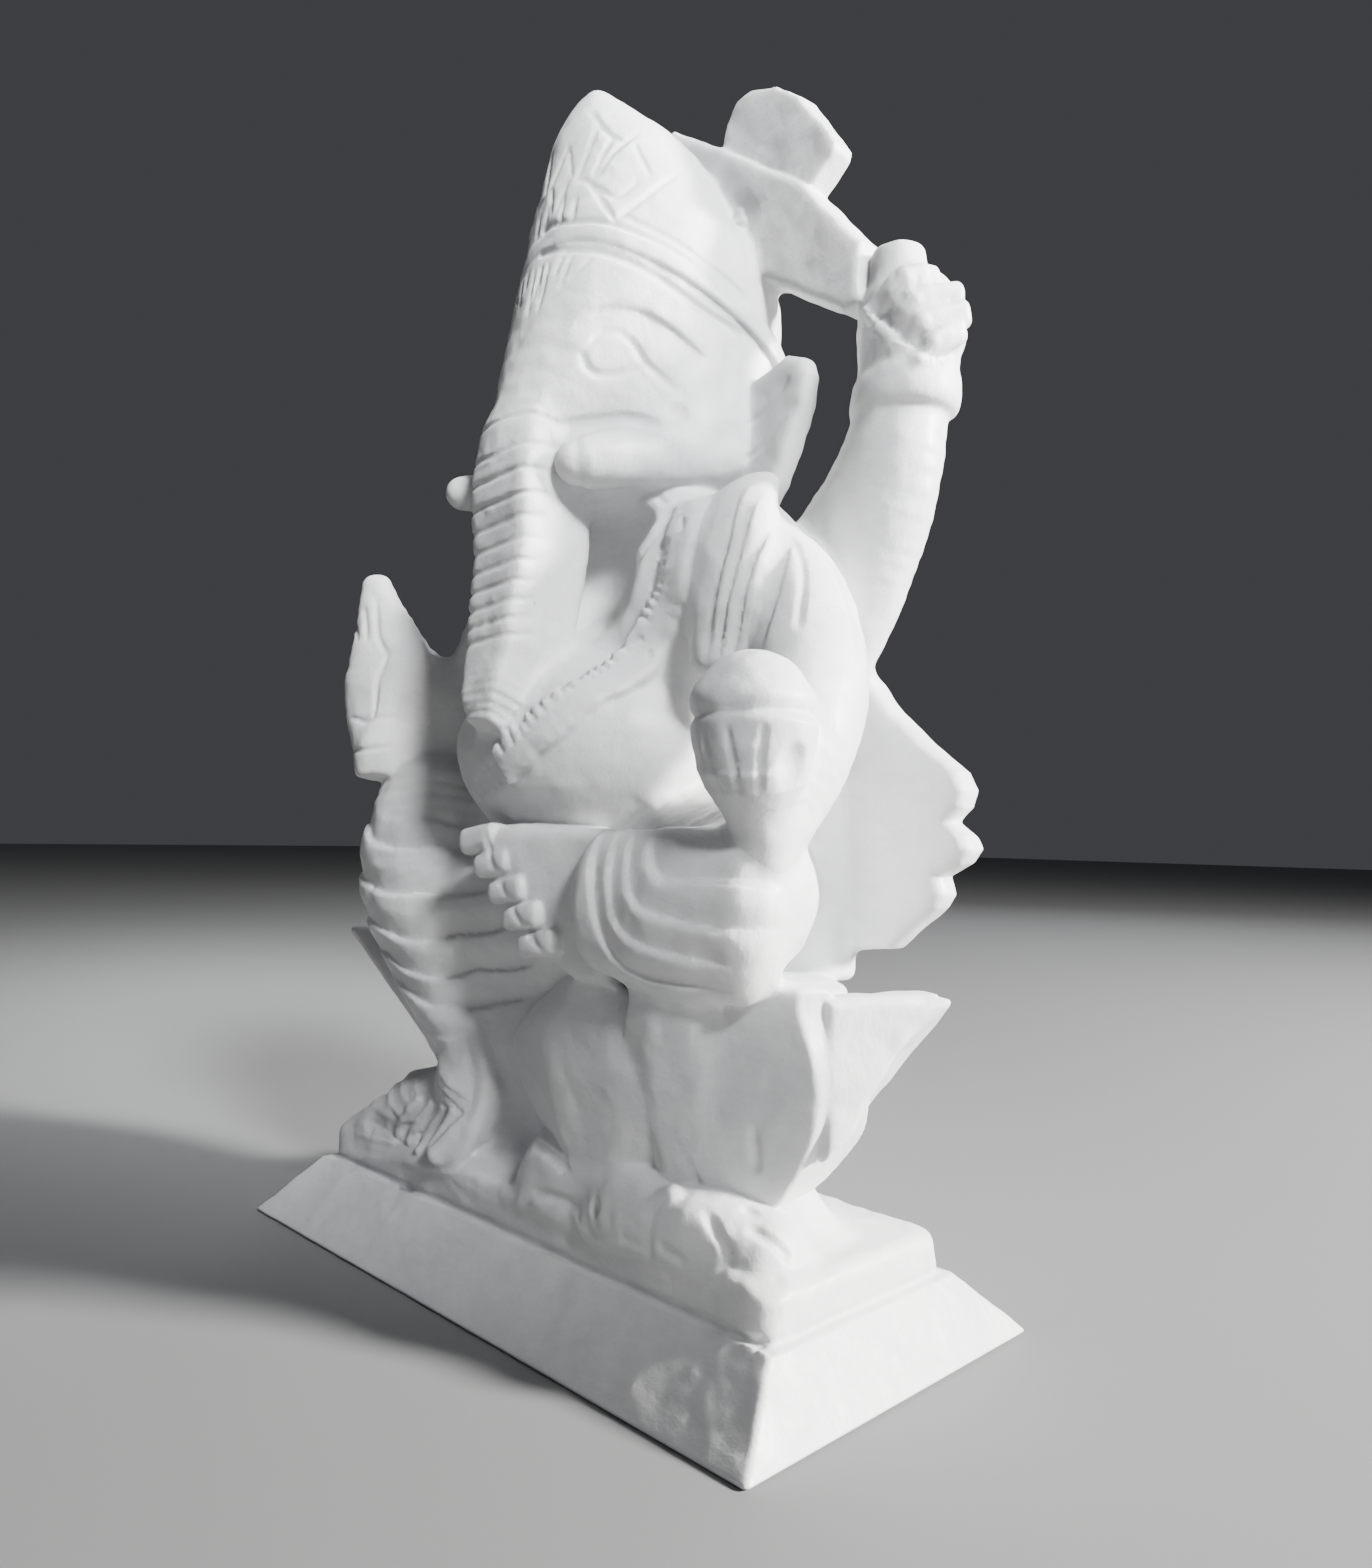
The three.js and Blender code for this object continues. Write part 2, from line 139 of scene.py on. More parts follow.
def curve(points, step):
    """Points along a smooth curve through the given ones, about step apart. Extra columns follow along."""
    pts = np.asarray(points, float)
    if len(pts) == 2:
        n = max(1, int(math.ceil(np.linalg.norm(pts[1, :3] - pts[0, :3]) / step)))
        return pts[0] + (pts[1] - pts[0]) * np.linspace(0, 1, n + 1)[:, None]
    ends = np.vstack([2 * pts[0] - pts[1], pts, 2 * pts[-1] - pts[-2]])
    out = []
    for i in range(1, len(ends) - 2):
        p0, p1, p2, p3 = ends[i - 1 : i + 3]
        n = max(1, int(math.ceil(np.linalg.norm(p2[:3] - p1[:3]) / step)))
        t = np.linspace(0, 1, n, endpoint=False)[:, None]
        out.append(
            0.5 * (2 * p1 + (p2 - p0) * t + (2 * p0 - 5 * p1 + 4 * p2 - p3) * t**2
                   + (3 * p1 - p0 - 3 * p2 + p3) * t**3)
        )
    return np.vstack(out + [pts[-1:]])


class Shape:
    """A distance function f over grids of x, y and z, and the corners lo and hi of the box it fills."""

    def __init__(self, lo, hi, f):
        self.lo, self.hi, self.f = np.asarray(lo, float), np.asarray(hi, float), f


def ellipsoid(centre, radii):
    c, r = arr(*centre), arr(*radii)

    def f(P):
        k0 = k1 = 0.0
        for p, o, size in zip(P, c, r):
            q = (p - np.float32(o)) / size
            k0 = k0 + q * q
            k1 = k1 + (q / size) ** 2
        k0 = np.sqrt(k0) + TINY
        return k0 * (k0 - 1) / (np.sqrt(k1) + TINY)

    return [Shape(c - r, c + r, f)]


def limb(stations, side=(1, 0, 0), power=2, cap=1.0, step=4.0):
    """A limb through stations (x, y, z, half width, half depth), its width along side."""
    rows = curve(stations, step)
    links = []
    for p, q in zip(rows[:-1], rows[1:]):
        links.append(link(p, q, side, power, cap))
    return links


def link(p, q, side, power, cap):
    """One piece of a limb, between two stations. cap is how round its ends are, as a part of its depth."""
    A, B = p[:3], q[:3]
    length = np.linalg.norm(B - A) + TINY
    t_axis = (B - A) / length
    s_axis = np.asarray(side, float)
    s_axis = unit(s_axis - t_axis * (s_axis @ t_axis))
    n_axis = np.cross(t_axis, s_axis)
    big = max(p[3], q[3], p[4], q[4])

    def f(P):
        T = along(P, t_axis, A)
        t = np.clip(T / length, 0, 1)
        a, b = p[3] + (q[3] - p[3]) * t, p[4] + (q[4] - p[4]) * t
        c = np.minimum(a, b) * cap
        x, y, z = along(P, s_axis, A) / a, along(P, n_axis, A) / b, (T - t * length) / c
        if power == 2:
            k0 = np.sqrt(x * x + y * y + z * z) + TINY
            x, y, z = x / a, y / b, z / c
            return k0 * (k0 - 1) / (np.sqrt(x * x + y * y + z * z) + TINY)
        x, y, z = np.abs(x) ** power, np.abs(y) ** power, np.abs(z) ** power
        k0 = (x + y + z + TINY) ** np.float32(1 / power)
        return (k0 - 1) * np.minimum(a, b)

    return Shape(np.minimum(A, B) - big, np.maximum(A, B) + big, f)


def smooth_rows(rows, z):
    """Each column of rows (z, ...) as a smooth function of z."""
    rows = curve([(0, 0, r[0], *r[1:]) for r in rows], 1.0)[:, 2:]
    return [np.interp(z, rows[:, 0], rows[:, i]).astype(np.float32) for i in range(1, rows.shape[1])]


def stack(levels, power=2, taper=0.0, edge=1.5, tilt=0.0):
    """A level stack (z, centre x, centre y, half x, half y). taper makes the front narrower than the back, and
    tilt lifts the front: the height rises by tilt for each millimetre towards the front."""
    levels = np.asarray(levels, float)
    z0, z1 = levels[0, 0], levels[-1, 0]
    size = levels[:, 3:].max(0)
    rise = abs(tilt) * size[1] + 0.5
    lo = arr(*(levels[:, 1:3].min(0) - size * (1 + taper)), z0 - rise)
    hi = arr(*(levels[:, 1:3].max(0) + size * (1 + taper)), z1 + rise)

    def f(P):
        X, Y, Z = P
        height = Z + tilt * Y
        cx, cy, a, b = smooth_rows(levels, height)
        u, v = X - cx, Y - cy
        if taper:
            u = u / (1 + taper * np.clip(v / b, -1, 1))
        return smax(oval(u, v, a, b, power), np.maximum(z0 - height, height - z1), edge)

    return [Shape(lo, hi, f)]


ALL_ROUND = (0, 0.75, 1.57, 2.4, 3.14, -2.4, -1.57, -0.75)


def petal(root, angle, height, swell, out, thickness, tip=0.3, faces=ALL_ROUND):
    """A lotus petal that leans out from its root, chiselled to flat faces. swell is the half width of its
    widest part, tip how wide its top is, as a part of that, and faces are the ways its faces look, from
    straight ahead."""
    root = arr(*root)
    across = (math.cos(angle), math.sin(angle), 0)
    forward = (math.sin(angle), -math.cos(angle), 0)
    reach = max(swell, thickness + out) + 1
    lo, hi = root - (reach, reach, 1), root + (reach, reach, height + 1)

    def f(P):
        t = np.clip((P[2] - root[2]) / height, 0, 1)
        width = swell * (np.sin(np.pi * (0.13 + 0.68 * t)) * (1 - t**6) + tip * t**6)
        depth = thickness * (1 - 0.55 * t**3)
        x, y = along(P, across, root) / width, (along(P, forward, root) - out * t**1.6) / depth
        side = -HUGE
        for a in faces:
            p, q = math.sin(a), math.cos(a)
            side = smax(side, (p * x + q * y - 0.97) / np.sqrt((p / width) ** 2 + (q / depth) ** 2), 0.8)
        return smax(side, np.maximum(root[2] - P[2], P[2] - root[2] - height), 2.5)

    return [Shape(lo, hi, f)]


def polygon(u, v, outline):
    """Distance to a flat outline, below 0 inside it."""
    pts = np.asarray(outline, float)
    nearest, inside = HUGE, np.zeros(np.broadcast(u, v).shape, bool)
    for (ax, ay), (bx, by) in zip(pts, np.roll(pts, -1, 0)):
        ex, ey = bx - ax, by - ay
        wx, wy = u - ax, v - ay
        t = np.clip((wx * ex + wy * ey) / (ex * ex + ey * ey), 0, 1)
        nearest = np.minimum(nearest, (wx - t * ex) ** 2 + (wy - t * ey) ** 2)
        if abs(ey) > SPECK:
            inside ^= ((ay > v) != (by > v)) & (wx < ex * wy / ey)
    return np.where(inside, -1, 1) * np.sqrt(nearest)


def slab(outline, thickness, origin, u=(1, 0, 0), bevel=1.2, bow=0.0):
    """An upright outline (a along u, b upwards), thickened evenly. bow swells its middle."""
    origin = arr(*origin)
    pts = np.asarray(outline, float)
    w = np.cross(u, UP)
    world = origin + pts[:, :1] * np.asarray(u, float) + pts[:, 1:] * np.asarray(UP, float)
    half = thickness / 2 + bow
    lo, hi = world.min(0) - half * np.abs(w), world.max(0) + half * np.abs(w)

    def f(P):
        flat = polygon(along(P, u, origin), along(P, UP, origin), pts)
        rise = bow * (1 - np.exp(np.minimum(flat, 0) / 6)) if bow else 0.0
        deep = np.abs(along(P, w, origin)) - thickness / 2 - rise
        return smax(flat, deep, bevel * 2)

    return [Shape(lo, hi, f)]


def frustum(levels, corner, edge):
    """Level rectangles (z, half x, half y) with rounded corners and edges."""
    rows = np.asarray(levels, float)
    (z0, x0, y0), (z1, x1, y1) = rows[0], rows[-1]
    hx, hy = rows[:, 1].max(), rows[:, 2].max()

    def f(P):
        X, Y, Z = P
        wide, deep = (np.interp(Z, rows[:, 0], rows[:, i]).astype(np.float32) for i in (1, 2))
        lean_x = math.cos(math.atan((x1 - x0) / (z1 - z0)))
        lean_y = math.cos(math.atan((y1 - y0) / (z1 - z0)))
        side = smax((np.abs(X) - wide) * lean_x, (np.abs(Y) - deep) * lean_y, corner)
        return smax(side, np.maximum(z0 - Z, Z - z1), edge)

    return [Shape((-hx, -hy, z0), (hx, hy, z1), f)]


# ---- The stone ----------------------------------------------------------------------------------------

LOW = np.array(CAD_BOX[0]) / MM - ROOM * VOXEL
COUNT = np.ceil((np.array(CAD_BOX[1]) / MM + ROOM * VOXEL - LOW) / VOXEL).astype(int) + 1
AXES = [(LOW[i] + VOXEL * np.arange(COUNT[i])).astype(np.float32) for i in range(3)]
field = np.full(COUNT, FAR, np.float32)  # distance to the whole figure's surface
nearest = np.full(COUNT, FAR, np.float32)  # distance to the nearest member
runner_up = np.full(COUNT, FAR, np.float32)  # and to the next nearest
owner = np.zeros(COUNT, np.uint8)
members = []  # (name, nodes, slot, window, its own distances)


def window(lo, hi, pad=PAD):
    """The part of the field between lo and hi and pad more, as slices."""
    a = np.clip(np.floor((np.asarray(lo) - pad - LOW) / VOXEL).astype(int), 0, COUNT - 1)
    b = np.clip(np.ceil((np.asarray(hi) + pad - LOW) / VOXEL).astype(int) + 1, a + 1, COUNT)
    return tuple(slice(i, j) for i, j in zip(a, b))


def grid(w):
    """The x, y and z of a window's points, each along its own axis."""
    return tuple(AXES[i][w[i]].reshape([-1 if j == i else 1 for j in range(3)]) for i in range(3))


def within(inner, outer):
    """The window inner as slices of the window outer."""
    return tuple(slice(max(0, i.start - o.start), i.stop - o.start) for i, o in zip(inner, outer))


def member(name, nodes, slot, parts, blend=2.0):
    """Adds a member. parts are (shapes, k) to join or ("cut", shapes, k) to take away, with a blend k."""
    parts = [p if p[0] == "cut" else ("add", *p) for p in parts]
    solids = [s for kind, shapes, _ in parts if kind == "add" for s in shapes]
    outer = window(np.min([s.lo for s in solids], 0), np.max([s.hi for s in solids], 0))
    own = np.full([s.stop - s.start for s in outer], FAR, np.float32)
    for kind, shapes, k in parts:
        whole = np.full(own.shape, FAR, np.float32) if len(shapes) > 1 and k > 0 else None
        target = own if whole is None else whole
        for shape in shapes:
            w = window(shape.lo, shape.hi)
            w = tuple(slice(max(a.start, b.start), min(a.stop, b.stop)) for a, b in zip(w, outer))
            if any(s.stop <= s.start for s in w):
                continue
            local = within(w, outer)
            d = shape.f(grid(w)).astype(np.float32)
            if whole is not None:
                target[local] = np.minimum(target[local], d)
            elif kind == "add":
                own[local] = smin(own[local], d, k)
            else:
                own[local] = smax(own[local], -d, k)
        if whole is not None:
            own = smin(own, whole, k) if kind == "add" else smax(own, -whole, k)
    np.minimum(own, FAR, out=own)
    index = len(members) + 1
    field[outer] = smin(field[outer], own, blend)
    best, second, who = nearest[outer], runner_up[outer], owner[outer]
    wins = own < best
    runner_up[outer] = np.where(wins, best, np.minimum(second, own))
    nearest[outer] = np.where(wins, own, best)
    owner[outer] = np.where(wins, index, who)
    members.append((name, nodes, slot, outer, own))


def trilinear(t, corner):
    """The values of each point's eight corners, weighed by where in its cell it lies, t (n, 3)."""
    total = 0.0
    for dx, dy, dz in CORNERS:
        weight = (
            (t[:, 0] if dx else 1 - t[:, 0])
            * (t[:, 1] if dy else 1 - t[:, 1])
            * (t[:, 2] if dz else 1 - t[:, 2])
        )
        total = total + weight * corner(dx, dy, dz)
    return total


def sample_at(values, g):
    """values at places g (n, 3), counted in cells."""
    top = np.array(values.shape) - 2
    i = np.clip(np.floor(g).astype(int), 0, top)
    t = np.clip(g - i, 0, 1)
    return trilinear(t, lambda dx, dy, dz: values[i[:, 0] + dx, i[:, 1] + dy, i[:, 2] + dz])


def sample(points):
    """The field at points (n, 3) in millimetres."""
    return sample_at(field, (points - LOW) / VOXEL)


def slope_at(points):
    h = VOXEL * 0.75
    return np.stack([(sample(points + h * e) - sample(points - h * e)) / (2 * h) for e in np.eye(3)], 1)


def settle(points):
    """The points moved to the nearest surface of the stone, in eight steps of 2.5 mm at most."""
    p = np.array(points, float)
    for _ in range(8):
        g = slope_at(p)
        step = sample(p)[:, None] * g / np.maximum((g * g).sum(1, keepdims=True), 0.1)
        length = np.linalg.norm(step, axis=1, keepdims=True)
        p -= step * np.minimum(1, 2.5 / np.maximum(length, TINY))
    return p


def strap(points, half, thick):
    """A flat band laid on the stone along a curve. Where it crosses from one member to the next its line and
    the way it faces would jump, so both are evened out between their neighbours, a few times over."""
    line = settle(curve(points, 3.0))
    faces = slope_at(line)
    for rows in (line, faces, line, faces, faces):
        rows[1:-1] = (rows[:-2] + 2 * rows[1:-1] + rows[2:]) / 4
    return [link(arr(*a, half, thick), arr(*b, half, thick), np.cross(b - a, out), 4, 0.8)
            for a, b, out in zip(line[:-1], line[1:], faces)]


def carve(points, width, depth, lap=None, snap=True, taper=True, soft=False):
    """Works a cut along a curve on the surface: a V of this width and depth, or a raised line where depth is
    below 0. lap is the side on which the cut runs out slowly, as a fold does over the next. The cut
    grows shallow at its ends where taper is on."""
    line = curve(points, max(VOXEL, 0.8))
    if snap:
        line = settle(line)
    w = window(line.min(0), line.max(0), width + 2)
    P = grid(w)
    amount = np.zeros([s.stop - s.start for s in w], np.float32)
    n = len(line) - 1
    for i, (a, b) in enumerate(zip(line[:-1], line[1:])):
        local = within(window(np.minimum(a, b), np.maximum(a, b), width + 1), w)
        L = np.linalg.norm(b - a) + TINY
        t_axis = (b - a) / L
        Q = tuple(axis[tuple(l if k == j else slice(None) for k, l in enumerate(local))]
                  for j, axis in enumerate(P))
        T = along(Q, t_axis, a)
        t = np.clip(T / L, 0, 1)
        X, Y, Z = (q - a[j] - t * L * t_axis[j] for j, q in enumerate(Q))
        d = np.sqrt(X * X + Y * Y + Z * Z)
        if lap is not None:
            side = unit(np.asarray(lap, float) - t_axis * (np.asarray(lap, float) @ t_axis))
            sign = X * side[0] + Y * side[1] + Z * side[2]
            d = np.where(sign > 0, d, d * (width / 0.8))
        # the cut deepens from a tenth to the whole over about a ninth of its length at each end
        fade = np.minimum(1, np.minimum(i + t, n - i - t) / (0.12 * n + 1) + 0.1) if taper else 1.0
        here = np.maximum(1 - d / (width if lap is not None else width / 2), 0)
        if soft:
            here = here * here * (3 - 2 * here)
        amount[local] = np.maximum(amount[local], here * fade)
    field[w] += depth * amount


def hollow(centre, radii, depth):
    """Hollows the stone, softly, inside an ellipsoid."""
    shape = ellipsoid(centre, radii)[0]
    w = window(shape.lo, shape.hi, 0)
    q = sum(((p - np.float32(o)) / size) ** 2 for p, o, size in zip(grid(w), centre, radii))
    field[w] += depth * np.maximum(1 - q, 0) ** 2


# ---- Plinth and what stands on it ---------------------------------------------------------------------

foot, (block_low, block) = box_mm("plinth_lower")[1], box_mm("plinth_upper")
STEP, FLOOR = block_low[2], block[2]
SEAT = box_mm("lotus_core")[1][2]

member("plinth_base", ["plinth_lower"], "marble_plinth", [
    (frustum([(0, foot[0], foot[1]), (STEP + 0.4, block[0] + 0.4, block[1] + 0.4)], 0.8, 0.7), 0),
], 0)
member("plinth_block", ["plinth_upper"], "marble_plinth", [
    (frustum([(STEP - 3, block[0], block[1]), (FLOOR, block[0] - 0.8, block[1] - 0.8)], 6.0, 3.2), 0),
], 0.6)
member("sweet_heap", ["sweet_mound"], "marble_offerings", [
    (stack([(FLOOR - 1, 15, -20, 18, 10), (FLOOR + 6, 15, -20, 15, 8.5), (FLOOR + 15, 15, -18.5, 10, 6.5),
            (FLOOR + 20, 15, -17, 5, 4)], edge=2), 0),
    (limb([(10, -20, FLOOR + 5, 8, 8), (38, -20, FLOOR + 7, 9, 9)], side=(0, 1, 0)), 4),
], 4)
member("mouse", ["mouse_body", "mouse_head", "mouse_ear_left", "mouse_ear_right"], "marble_offerings", [
    (limb([(44, -22, FLOOR + 3, 8, 7), (58, -19, FLOOR + 4, 11, 9), (72, -15, FLOOR + 2, 9, 8)],
          side=(0, 1, 0)), 0),
    (limb([(33, -27, FLOOR + 1.5, 2.5, 2.5), (39, -26, FLOOR + 4, 5, 4.5), (46, -23, FLOOR + 6, 7, 6)]), 4),
    (limb([(42, -22, FLOOR + 8.5, 1.6, 1.8), (51, -19.5, FLOOR + 13, 2.2, 2.4)], side=(0, 1, 0)), 1),
    (limb([(45, -28, FLOOR + 5, 1.8, 1.8), (55, -25, FLOOR + 10.5, 2.6, 2.8)], side=(0, 1, 0)), 1),
], 5)

# ---- Lotus --------------------------------------------------------------------------------------------

ROOT = FLOOR + 9
BIG = dict(height=SEAT - ROOT - 1, swell=28, out=11, thickness=11)
SHARP = dict(height=SEAT - ROOT - 2, swell=19, out=26, thickness=10, tip=0.12)
member("lotus_seat", ["lotus_core"], "marble_lotus", [
    (stack([(FLOOR - 1, 4, 2, 73, 26), (FLOOR + 6, 4, 2, 66, 22), (FLOOR + 14, 4, 3, 62, 20),
            (FLOOR + 34, 3, 2, 68, 24), (SEAT - 4, 2, 2, 74, 26), (SEAT, 2, 2, 70, 23)], edge=3), 0),
], 3)
PETALS = {
    "rear_left": (BIG, (31, 18), math.pi - 0.08, {}),
    "rear_right": (BIG, (-27, 18), math.pi + 0.08, {}),
    "side_right": (SHARP, (-50, 13), -1.75, dict(out=36)),
    "side_left": (SHARP, (56, 10), 1.72, dict(out=36)),
    "corner_right": (SHARP, (-52, 2), -0.85, dict(height=SEAT - ROOT + 2, out=38, tip=0.3)),
    "inner_left": (BIG, (50, -14), 0.35, dict(height=SEAT - ROOT - 1, swell=15, out=12, thickness=8, tip=0.8)),
    "front_right": (BIG, (-30, -6), -0.1, dict(swell=22, out=6)),
    "front_left": (BIG, (28, -16), 0.05, dict(swell=33, out=8, tip=0.2)),
    "corner_left": (BIG, (62.5, -8), 0.42, dict(height=SEAT - ROOT + 1, swell=22, out=9, thickness=9, tip=0.8,
                                                   faces=(0, 1.3, 2.6, -2.6, -1.3))),
}
# the left side's petal runs on to the corner's as one flat face
FLARE = [(-4, SEAT - 1.5), (22, SEAT - 1.5), (8, 58), (3, 50), (-4, 44)]
for place, (kind, (x, y), angle, change) in PETALS.items():
    parts = [(petal((x, y, ROOT), angle, **{**kind, **change}), 0)]
    if place == "side_left":
        parts.append((slab(FLARE, 9, (79.9, -4.2, 0), u=(0.406, 0.914, 0)), 2))
    member("petal_" + place, ["lotus_petal_" + place], "marble_lotus", parts, 0.8)

# ---- Body ---------------------------------------------------------------------------------------------

FAN = [(-6, 12), (12, 14), (24, 24), (26, 27), (24.5, 31), (30, 34), (32.5, 37), (31, 40), (27, 43),
       (30, 46), (31, 50), (29, 54), (20, 61), (12, 68), (2, 80), (-8, 70)]
member("back_block", ["back_slab"], BODY, [
    (stack([(SEAT - 2, 1, 20, 63, 10), (110, 1, 20, 62, 10), (150, 1, 20, 57, 9), (172, 1, 19, 45, 8.5),
            (181, 1, 18, 34, 7)], power=4, edge=3), 0),
], 2)
member("hips", ["hips"], BODY, [(ellipsoid((4, 3, 99), (63, 22, 24)), 0)], 5)
member("side_fall_left", ["drape_left"], BODY, [
    (slab(FAN, 8, (63, 25, 71), bevel=1.5, bow=1.5), 0)], 3)
member("side_fall_right", ["drape_right"], BODY, [
    (slab(flipped(FAN), 8, (-61, 25, 71), bevel=1.5, bow=1.5), 0)], 3)
member("chest", ["chest"], BODY, [
    (stack([(138, 1, 4, 38, 20), (156, 1, 3, 45, 20), (172, 1, 3, 51, 20), (182, 1, 3, 48, 18),
            (189, 2, 2, 38, 15), (199, 3, 2, 26, 14)], edge=5, power=2.9), 0),
    ("cut", ellipsoid((12, -25, 175), (18, 20, 20)), 3),
    ("cut", ellipsoid((21, -24, 184), (14, 16, 10)), 2),
], 6)
member("belly", ["belly"], BODY, [(ellipsoid((1, -6, 131), (39, 30.5, 26.5)), 0)], 5)
member("shoulder_cloth", ["shawl"], BODY, [
    (limb([(45, 0, 186, 13, 6), (50, -7, 178, 13.5, 6.5), (53, -10, 163, 12, 6), (52, -12, 149, 8, 4)],
          side=(1, 0, 0.35)), 0)], 6)
GARLAND = [(40, -9, 186), (41, -14, 176), (39.5, -16, 167), (36, -19, 158), (31, -23, 150), (24, -28, 141),
           (15, -32, 132), (6, -34.5, 126)]
member("chest_thread", ["sacred_thread"], BODY, [(strap(GARLAND, 5.2, 1.9), 0)], 1)

# ---- Legs ---------------------------------------------------------------------------------------------

member("left_thigh", ["left_thigh"], BODY, [
    (limb([(34, 0, 101, 19, 15), (54, -8, 99, 19, 15), (67, -15, 98, 17, 13)], side=UP), 0)], 5)
member("left_shin", ["left_shin", "left_anklet"], BODY, [
    (limb([(70, -22, 94, 18, 10), (53, -27.5, 94, 17.5, 9.5), (38, -30, 95.5, 15.5, 8.5)], side=UP), 0)], 3)
toes = []
for i in range(5):  # from the big toe down to the little one
    at = arr(-7 + 5.6 * i, -35.5 + 0.3 * i, 107.5 - 5.9 * i)
    toes += limb([(*(at + (8, 0.5, 1.5)), 2.9, 2.7), (*at, 3.15 - 0.15 * i, 2.9)],
                 side=UP, power=3, cap=0.8)
SOLE = [(37, 111), (8, 112), (-4, 111), (-5, 105), (1, 97), (9, 89), (18, 82), (24, 78), (37, 76)]
member("left_foot", ["left_foot"], BODY, [
    (slab(SOLE, 15, (0, -29, 0), u=(0.984, 0.177, 0), bevel=2, bow=1), 0),
    (toes, 0.8),
], 1.5)
member("right_thigh", ["right_thigh"], BODY, [
    (limb([(-28, 0, 104, 15, 14), (-46, -11, 106, 15.5, 14.5)], side=UP), 0)], 6)
member("right_shin", ["right_shin"], BODY, [
    (limb([(-55, -17, 121, 16, 12), (-54, -21, 106, 21, 14.5), (-51, -23, 92, 21, 12.5),
           (-40, -22, 76, 18, 11.5), (-31, -21, 62, 13, 10.5)], cap=0.8), 0),
    (limb([(-38, -18, 90, 18, 12), (-18, -19, 88, 18, 11), (4, -20, 86, 14, 9.5), (16, -20, 84, 9, 8)],
          side=UP), 6),
], 4)
member("right_foot", ["right_ankle", "right_foot"], BODY, [
    (limb([(-26, -20, 58, 9, 9), (-27, -19, 46, 9.5, 9)]), 0),
    (limb([(-27, -18, 45, 9, 8.5), (-32, -18, 36, 18, 8.5), (-36, -18, 28, 28, 9.5), (-36, -18, 23, 31, 11)],
          cap=0.2, step=3), 5),
    (limb([(-36, -17, 37, 8, 7), (-52, -18, 33, 9, 7), (-68, -18, 28, 10, 5.5), (-78, -18, 24.5, 9, 4)],
          side=(0, 1, 0)), 5),
    (limb([(-20, -19, 41, 6, 6), (-21, -24, 35, 5.2, 5.2), (-26, -30, 28, 3.2, 3.2)]), 3),
], 4)

# ---- Arms ---------------------------------------------------------------------------------------------

REAR, HAND = 19, -25  # how far back the raised arms stand, and how far forward the lower hands do
FIST = []
for i in range(4):  # the fingers, from the top one down
    x, y, z = 2.2 * i, 1.2 * i, -4.7 * i
    back, drop = (3.5, 0.5, 0, 1.5)[i], (2.5, 1.5, 1, 0)[i]
    FIST += limb([(78.5 + x, 9.5 + y, 226 + z, 3.1, 3.1), (85.5 + 0.6 * x, 10.5 + y, 231 + z, 3.4, 3.4),
                  (91.5 + 0.3 * x - back, 18 + 0.5 * y - back, 234.5 + z - drop, 3.2, 3.2)], power=3, cap=0.8)
member("raised_left_arm", ["raised_left_arm", "raised_left_bracelet", "raised_left_fist"], BODY, [
    (limb([(50, REAR, 152, 18, 9.5), (61, REAR, 170, 18.5, 10.5), (72, REAR, 187, 14.5, 10.5),
           (77.5, REAR, 202, 11, 10.5), (79.5, REAR, 216, 10, 9.5)]), 0),
    (stack([(205, 79, REAR, 12.3, 11.5), (209, 79.5, REAR, 12.6, 11.8), (214, 80, REAR, 12.0, 11.2)],
           edge=2.5), 1.2),
    (limb([(80.5, REAR, 216, 10, 9.5), (81, REAR, 222, 12.5, 11), (80, REAR, 228, 11.5, 10.5)]), 3),
    (FIST, 0.6),
], 4)
SHAFT = [(-4, 26), (9, 17), (42, -7), (60, -28), (60, -42), (55, -43), (26, -24), (-8, -9)]
BLADE = [(4, -4), (5, 5), (9, 9.5), (14, 10), (22, 7.5), (30, 1.5), (41.5, -15), (41, -17), (33, -24),
         (20, -14)]
member("axe", ["axe_handle_end", "axe_shaft", "axe_blade"], "marble_attributes", [
    (slab(SHAFT, 12, (12, REAR - 2, 274), bevel=1.2), 0),
    (slab(BLADE, 8, (21.5, REAR - 2, 289), bevel=0.8), 0.6),
    (limb([(77.8, REAR, 234, 7.2, 7.2), (77.3, REAR, 243, 6.2, 6.2)], cap=0.25), 1),
], 2)
member("raised_right_arm", ["raised_right_arm", "raised_right_bracelet", "raised_right_fist"], BODY, [
    (limb([(-43, REAR + 2, 160, 13, 9), (-57, REAR + 3, 178, 13, 9.5), (-62, REAR + 4, 192, 10.5, 9),
           (-60, REAR + 5, 214, 9, 8.5)]), 0),
    (stack([(205.5, -60.5, REAR + 5, 11, 10), (209, -60, REAR + 5, 11.2, 10.2),
            (213, -59.5, REAR + 5, 10.6, 9.8)], edge=2), 0.8),
    (limb([(-59, REAR + 5, 216, 9, 8.5), (-56, REAR + 5, 228, 11.5, 10)]), 3),
], 4)
member("bud", ["lotus_bud"], "marble_attributes", [
    (limb([(-54, REAR + 5, 234, 4, 4), (-51.5, REAR + 5, 243, 7, 7), (-50, REAR + 5, 249, 7.5, 7.2),
           (-48, REAR + 5, 259, 2, 2)]), 0)], 1.5)
member("offering_arm", ["left_upper_arm", "left_forearm", "left_hand"], BODY, [
    (limb([(50, 3, 176, 11, 12), (63, 0, 162, 12.5, 12), (71, -3, 146, 12.5, 12.5), (74, -9, 130, 11.5, 12),
           (74, -17, 115, 9, 9)]), 0),
    (limb([(76, -20, 106, 5, 5), (76, -24, 115, 7.5, 7), (77, -27, 124, 12, 10.5),
           (77, -27, 131, 13.6, 11.5)], cap=0.4), 3),
], 3)
